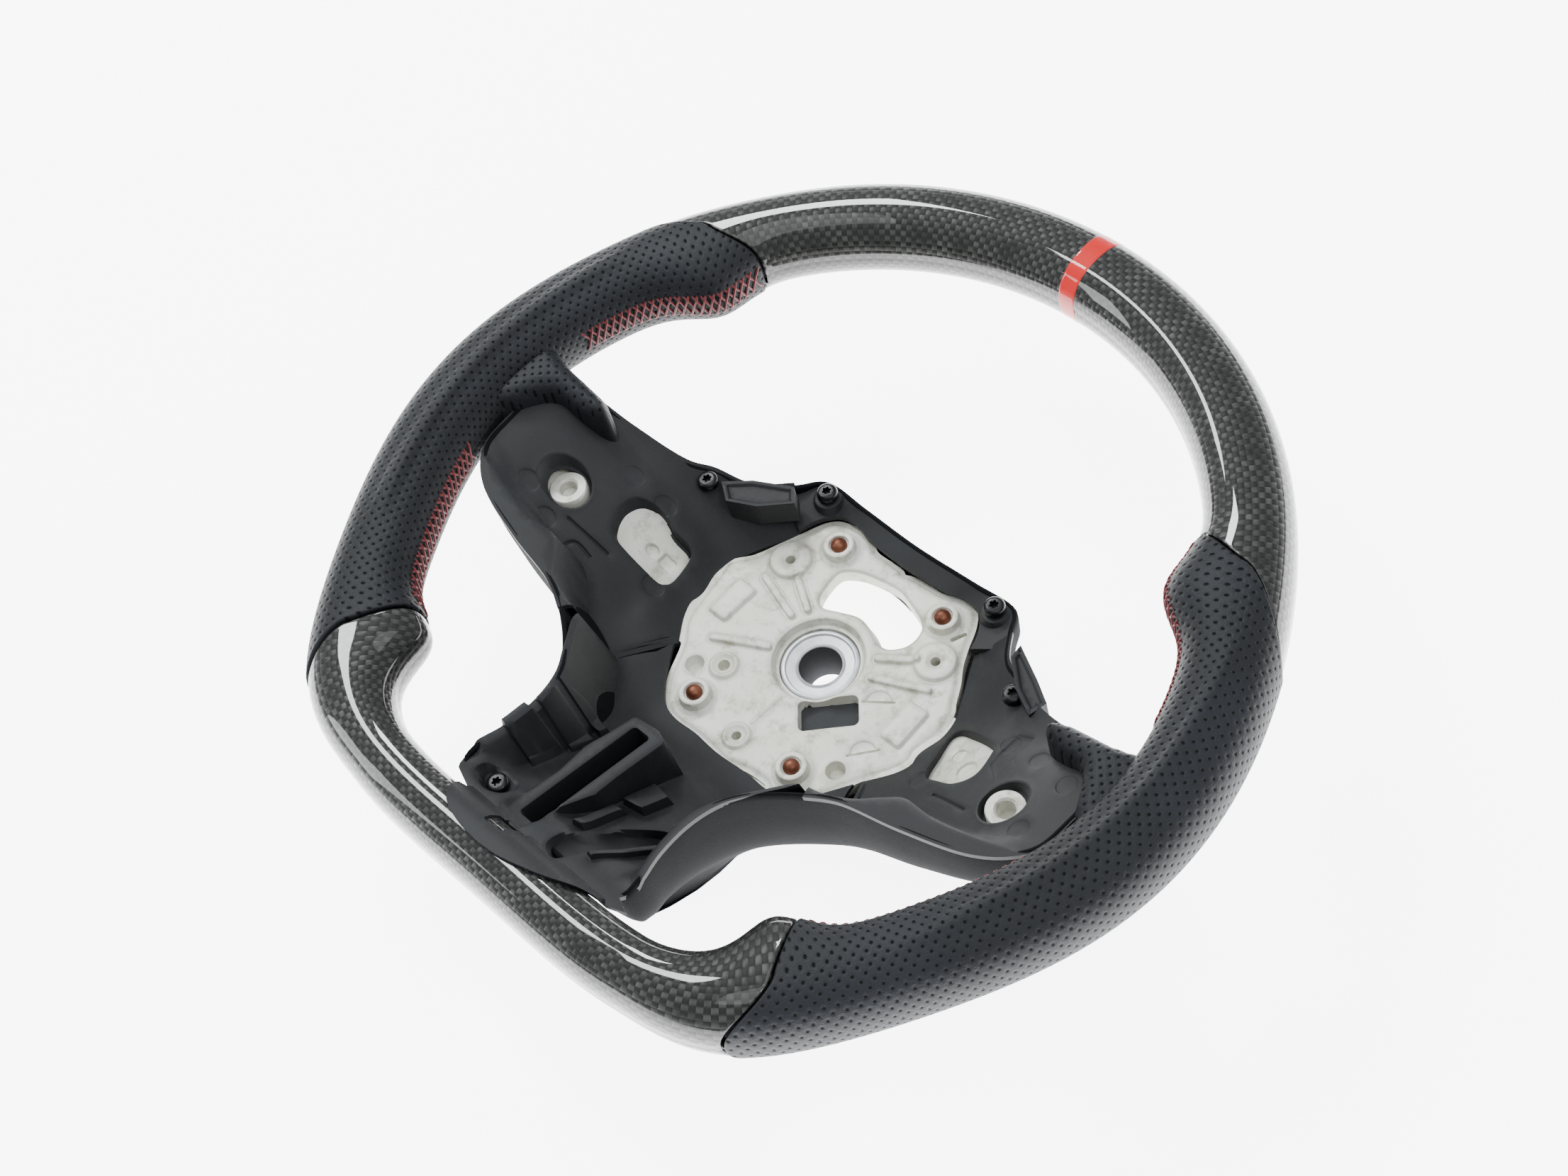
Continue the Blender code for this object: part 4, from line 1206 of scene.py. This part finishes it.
def buildCover():
    loop = curve(mirroredRidge(), 2.4)
    plan = loop[:, :2]
    along = np.roll(plan, -1, 0) - np.roll(plan, 1, 0)
    along /= np.linalg.norm(along, axis=1, keepdims=True)
    inward = np.stack([along[:, 1], -along[:, 0]], 1)
    reach = np.linalg.norm(plan, axis=1)
    unit = plan / reach[:, None]
    angle = np.degrees(np.arctan2(plan[:, 1], plan[:, 0]))
    opening = np.full(len(plan), cover["hubOpening"])
    outer = np.array((
        (48, 29), (58, 41), (75, 45), (90, 46), (105, 49), (118, 54), (130, 57), (139, 52),
        (150, 29),
    ), float)
    wide = (angle > 45) & (angle < 150)
    opening[wide] = np.maximum(cover["hubOpening"], np.interp(angle[wide], outer[:, 0], outer[:, 1]) + 1.0)

    def walk(offset, height):
        moved = plan + inward * offset
        return [(x, y, z) for (x, y), z in zip(moved, height + np.zeros(len(plan)))]

    def disc(radius, height):
        return [(r * u, r * v, height) for (u, v), r in zip(unit, radius + np.zeros(len(plan)))]

    top = loop[:, 2]
    wall, lip = cover["wall"], cover["lip"]
    belly = 10.0 + 0.46 * np.maximum(reach - 55.0, 0.0)
    skirt = top - 12.0
    rings = [
        walk(wall, top - 3.0),
        walk(wall - 0.3, top - 0.6),
        walk(wall - 0.9, top - 0.1),
        walk(1.2, top),
        walk(0.5, top - 0.3),
        walk(0.1, top - lip),
        walk(0.0, top - 3.0),
        walk(0.4, skirt),
    ]
    for t in np.linspace(0, 1, 11)[1:]:
        turn = t * math.pi / 2
        offset = 0.4 + 8.6 * (1 - math.cos(turn))
        rings.append(walk(offset, skirt + (belly - skirt) * (0.45 * t + 0.55 * math.sin(turn))))
    start = np.array(rings[-1])
    end = np.array(disc(np.maximum(54.0, opening + 4.5), 1.5))
    for t in np.linspace(0, 1, 7)[1:]:
        bow = 1 - (1 - t) ** 2
        mixed = start * (1 - t) + end * t
        mixed[:, 2] = start[:, 2] * (1 - bow) + end[:, 2] * bow
        rings.append([tuple(p) for p in mixed])
    rings += [
        disc(np.maximum(49.5, opening + 2.0), 0.0),
        disc(opening + 1.0, 0.0),
        disc(opening, 0.8),
        disc(opening, 2.6),
        disc(np.maximum(50.0, opening + 2.5), 2.8),
        walk(11.5, belly + wall),
        walk(wall + 0.6, skirt),
    ]
    vertices, faces = loft(rings, True)
    addPiece("rearCover", vertices, faces, "cover", ["rear_cover"], "plastic", 40.0)


report("cover")
buildCover()


# ---- thumb rests ----
thumb = {
    "outline": (
        (153, 25), (148, 20), (142.5, 17.8), (136, 17), (129, 16.8), (119, 16), (114, 13.8),
        (112.5, 11), (116, 8), (125, 6), (131.5, 5.5), (136, 3), (140, -3), (144, -10), (151, -16),
        (157, -10), (158, 10), (157, 22),
    ),
    "tip": 85.0,  # height at the inner end and beside the rim
    "root": 90.8,
    "roll": 6.5,  # width of the rounded edge
}


def buildThumbRests():
    for side, word in bothSides:
        outline = ccw(curve([(side * x, y) for x, y in thumb["outline"]], 1.4))

        def base(points):
            deep = np.clip(-gapTo(points, outline) / thumb["roll"], 0, 1)
            crest = thumb["tip"] + (thumb["root"] - thumb["tip"]) * smooth(np.abs(points[:, 0]), 116, 146)
            return crest - thumb["roll"] * (1 - np.sqrt(np.clip(1 - (1 - deep) ** 2, 0, 1)))

        def bottom(points):
            return np.minimum(floorAlong(np.abs(points[:, 0])), 76.0) - 4.0

        vertices, faces = flatWork(outline, [], [], base, 1.5, 2.0, bottom)
        name, node = f"thumbRest{word.title()}", f"thumb_rest_{word}"
        piece = addPiece(name, vertices, faces, "leather", [node], "leather", 70.0)
        mesh = piece.data

        def fromAbove(polygon):
            spots = [mesh.vertices[i].co for i in polygon.vertices]
            return [(spot.x / mm, spot.y / mm) for spot in spots]

        layUv(mesh, faces, fromAbove)


report("thumb rests")
buildThumbRests()


# ---- hub insert, contacts and screws ----
screws = {
    "outer_left": (-80.0, 25.6, 46.0),
    "inner_left": (-44.0, 54.2, 35.0),
    "outer_right": (80.0, 25.6, 46.0),
    "inner_right": (44.0, 54.2, 35.0),
    "lower": (-29.2, -124.6, 73.0),
}


def buildInsert():
    profile = (
        (8.5, 0.0), (16.2, 0.0), (15.7, 20.8), (15.3, 21.6), (14.7, 21.9), (13.9, 21.9),
        (13.5, 21.5), (13.3, 21.1), (9.9, 20.6), (9.5, 20.9), (9.1, 21.2), (8.7, 21.0), (8.5, 20.6),
    )
    rings = [[(x, y, z) for x, y in ring(0, 0, radius, 96)] for radius, z in profile]
    vertices, faces = loft(rings, True)
    piece = addPiece("hubInsert", vertices, faces, "steel", ["hub_insert"], "steel", 30.0)
    # painted shade on the inner wall of the bore
    darken(piece, lambda x, y, z: math.hypot(x, y) < 8.9 and z < 20.5)


def buildContacts():
    for x, y in plate["posts"]:
        profile = (
            (3.3, 24.0), (3.3, 29.6), (3.1, 30.3), (2.6, 31.0), (1.8, 31.6), (0.9, 31.9),
            (0.3, 32.0),
        )
        name = f"horn_contact_{'upper' if y > 0 else 'lower'}_{'right' if x > 0 else 'left'}"
        vertices, faces = turned(x, y, profile, 32)
        word = "".join(part.title() for part in name.split("_")[1:])
        addPiece(f"horn{word}", vertices, faces, "copper", [name], "copper", 50.0)


def buildScrews():
    # button heads with a six-lobed socket
    turn = np.linspace(0, 2 * math.pi, 49)[:-1]
    for key, (x, y, z) in screws.items():
        rings = []
        for radius, up in (
            (1.5, -8.0), (1.5, 0.0), (4.15, 0.0), (4.25, 0.4), (4.2, 2.0), (3.95, 2.7), (3.4, 3.15),
            (2.6, 3.3),
        ):
            rings.append([(x + radius * math.cos(t), y + radius * math.sin(t), z + up) for t in turn])
        for scale, up in ((1.0, 3.3), (0.96, 3.1), (0.92, 1.2)):
            spots = []
            for t in turn:
                radius = (1.72 + 0.3 * math.cos(6 * t)) * scale
                spots.append((x + radius * math.cos(t), y + radius * math.sin(t), z + up))
            rings.append(spots)
        vertices, faces = loft(rings)
        word = "".join(part.title() for part in key.split("_"))
        addPiece(f"screw{word}", vertices, faces, "screw", [f"cover_screw_{key}"], "screw", 35.0)


report("metal fittings")
buildInsert()
buildContacts()
buildScrews()


# ---- foam ----
def foamFinish():
    f = Finish("gripFoam", {})
    pores = f.cells(0.9)
    tone = f.noise(12.0, 3.0)
    colour = f.blend(tone, rgb(34, 34, 38), rgb(50, 50, 54))
    return f.paint(colour=colour, rough=0.85 + 0.1 * tone, normal=f.bump(pores, 0.3))


foam = foamFinish()
for name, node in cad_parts.items():
    if name.startswith("grip_foam"):
        node.data.materials.clear()
        node.data.materials.append(foam)


# ---- studio ----
studio = {
    "world": 0.6,
    "lampTint": (0.97, 1.0, 0.99),
    "floorGlow": 6.6,
    "floorReach": 4,
    "floorLevel": -0.0015,
    "lamps": (
        ("windowUpper", (-0.83, 0.58, 1.11), 0.24, 0.22, 9.0),
        ("windowLower", (-0.885, 0.09, 1.2), 0.16, 0.6, 12.0),
        ("stripFront", (-0.92, -0.95, 0.72), 0.3, 0.75, 8.0),
        ("lampRight", (0.88, 0.05, 1.2), 0.14, 0.14, 3.5),
        ("overhead", (0.2, 0.1, 1.7), 1.3, 1.3, 12.0),
    ),
}


def areaLight(name, spot, aim, width, height, power):
    data = bpy.data.lights.new(name, "AREA")
    data.shape = "RECTANGLE"
    data.size = width
    data.size_y = height
    data.energy = power
    data.color = studio["lampTint"]
    light = bpy.data.objects.new(name, data)
    light.location = spot
    light.rotation_euler = (Vector(aim) - Vector(spot)).to_track_quat("-Z", "Y").to_euler()
    bpy.context.scene.collection.objects.link(light)


def buildStudio():
    world = bpy.data.worlds.new("studio")
    world.use_nodes = True
    background = world.node_tree.nodes["Background"]
    background.inputs["Color"].default_value = (0.93, 0.95, 0.98, 1)
    background.inputs["Strength"].default_value = studio["world"]
    bpy.context.scene.world = world
    # where each lamp stands, its width and height, and its power in watts
    for name, spot, width, height, power in studio["lamps"]:
        areaLight(name, spot, (0, 0, 0.06), width, height, power)
    floor = bpy.data.meshes.new("studioFloor")
    reach, level = studio["floorReach"], studio["floorLevel"]
    corners = [(x * reach, y * reach, level) for x, y in ((-1, -1), (1, -1), (1, 1), (-1, 1))]
    floor.from_pydata(corners, [], [(0, 1, 2, 3)])
    glow = {"Emission Color": (1, 1, 1, 1), "Emission Strength": studio["floorGlow"]}
    f = Finish("paper", {"Specular IOR Level": 0.1, **glow})
    tone = f.noise(400.0, 2.0)
    colour = f.blend(tone, (0.93, 0.93, 0.93, 1), (0.95, 0.95, 0.95, 1))
    floor.materials.append(f.paint(colour=colour, rough=0.9 + 0.02 * tone))
    piece = bpy.data.objects.new("studioFloor", floor)
    bpy.context.scene.collection.objects.link(piece)


def buildCamera():
    data = bpy.data.cameras.new("camera")
    data.lens = 55.31
    data.sensor_width = 36.0
    camera = bpy.data.objects.new("camera", data)
    spot = Vector((435.9, -265.3, 796.0)) * mm
    aim = Vector((-13.0, -9.3, 59.2)) * mm
    up = Vector((-0.5049, 0.6724, 0.5413))
    back = (spot - aim).normalized()
    right = up.cross(back).normalized()
    up = back.cross(right)
    camera.matrix_world = Matrix.Translation(spot) @ Matrix((right, up, back)).transposed().to_4x4()
    bpy.context.scene.collection.objects.link(camera)
    bpy.context.scene.camera = camera


report("studio")
buildStudio()
buildCamera()
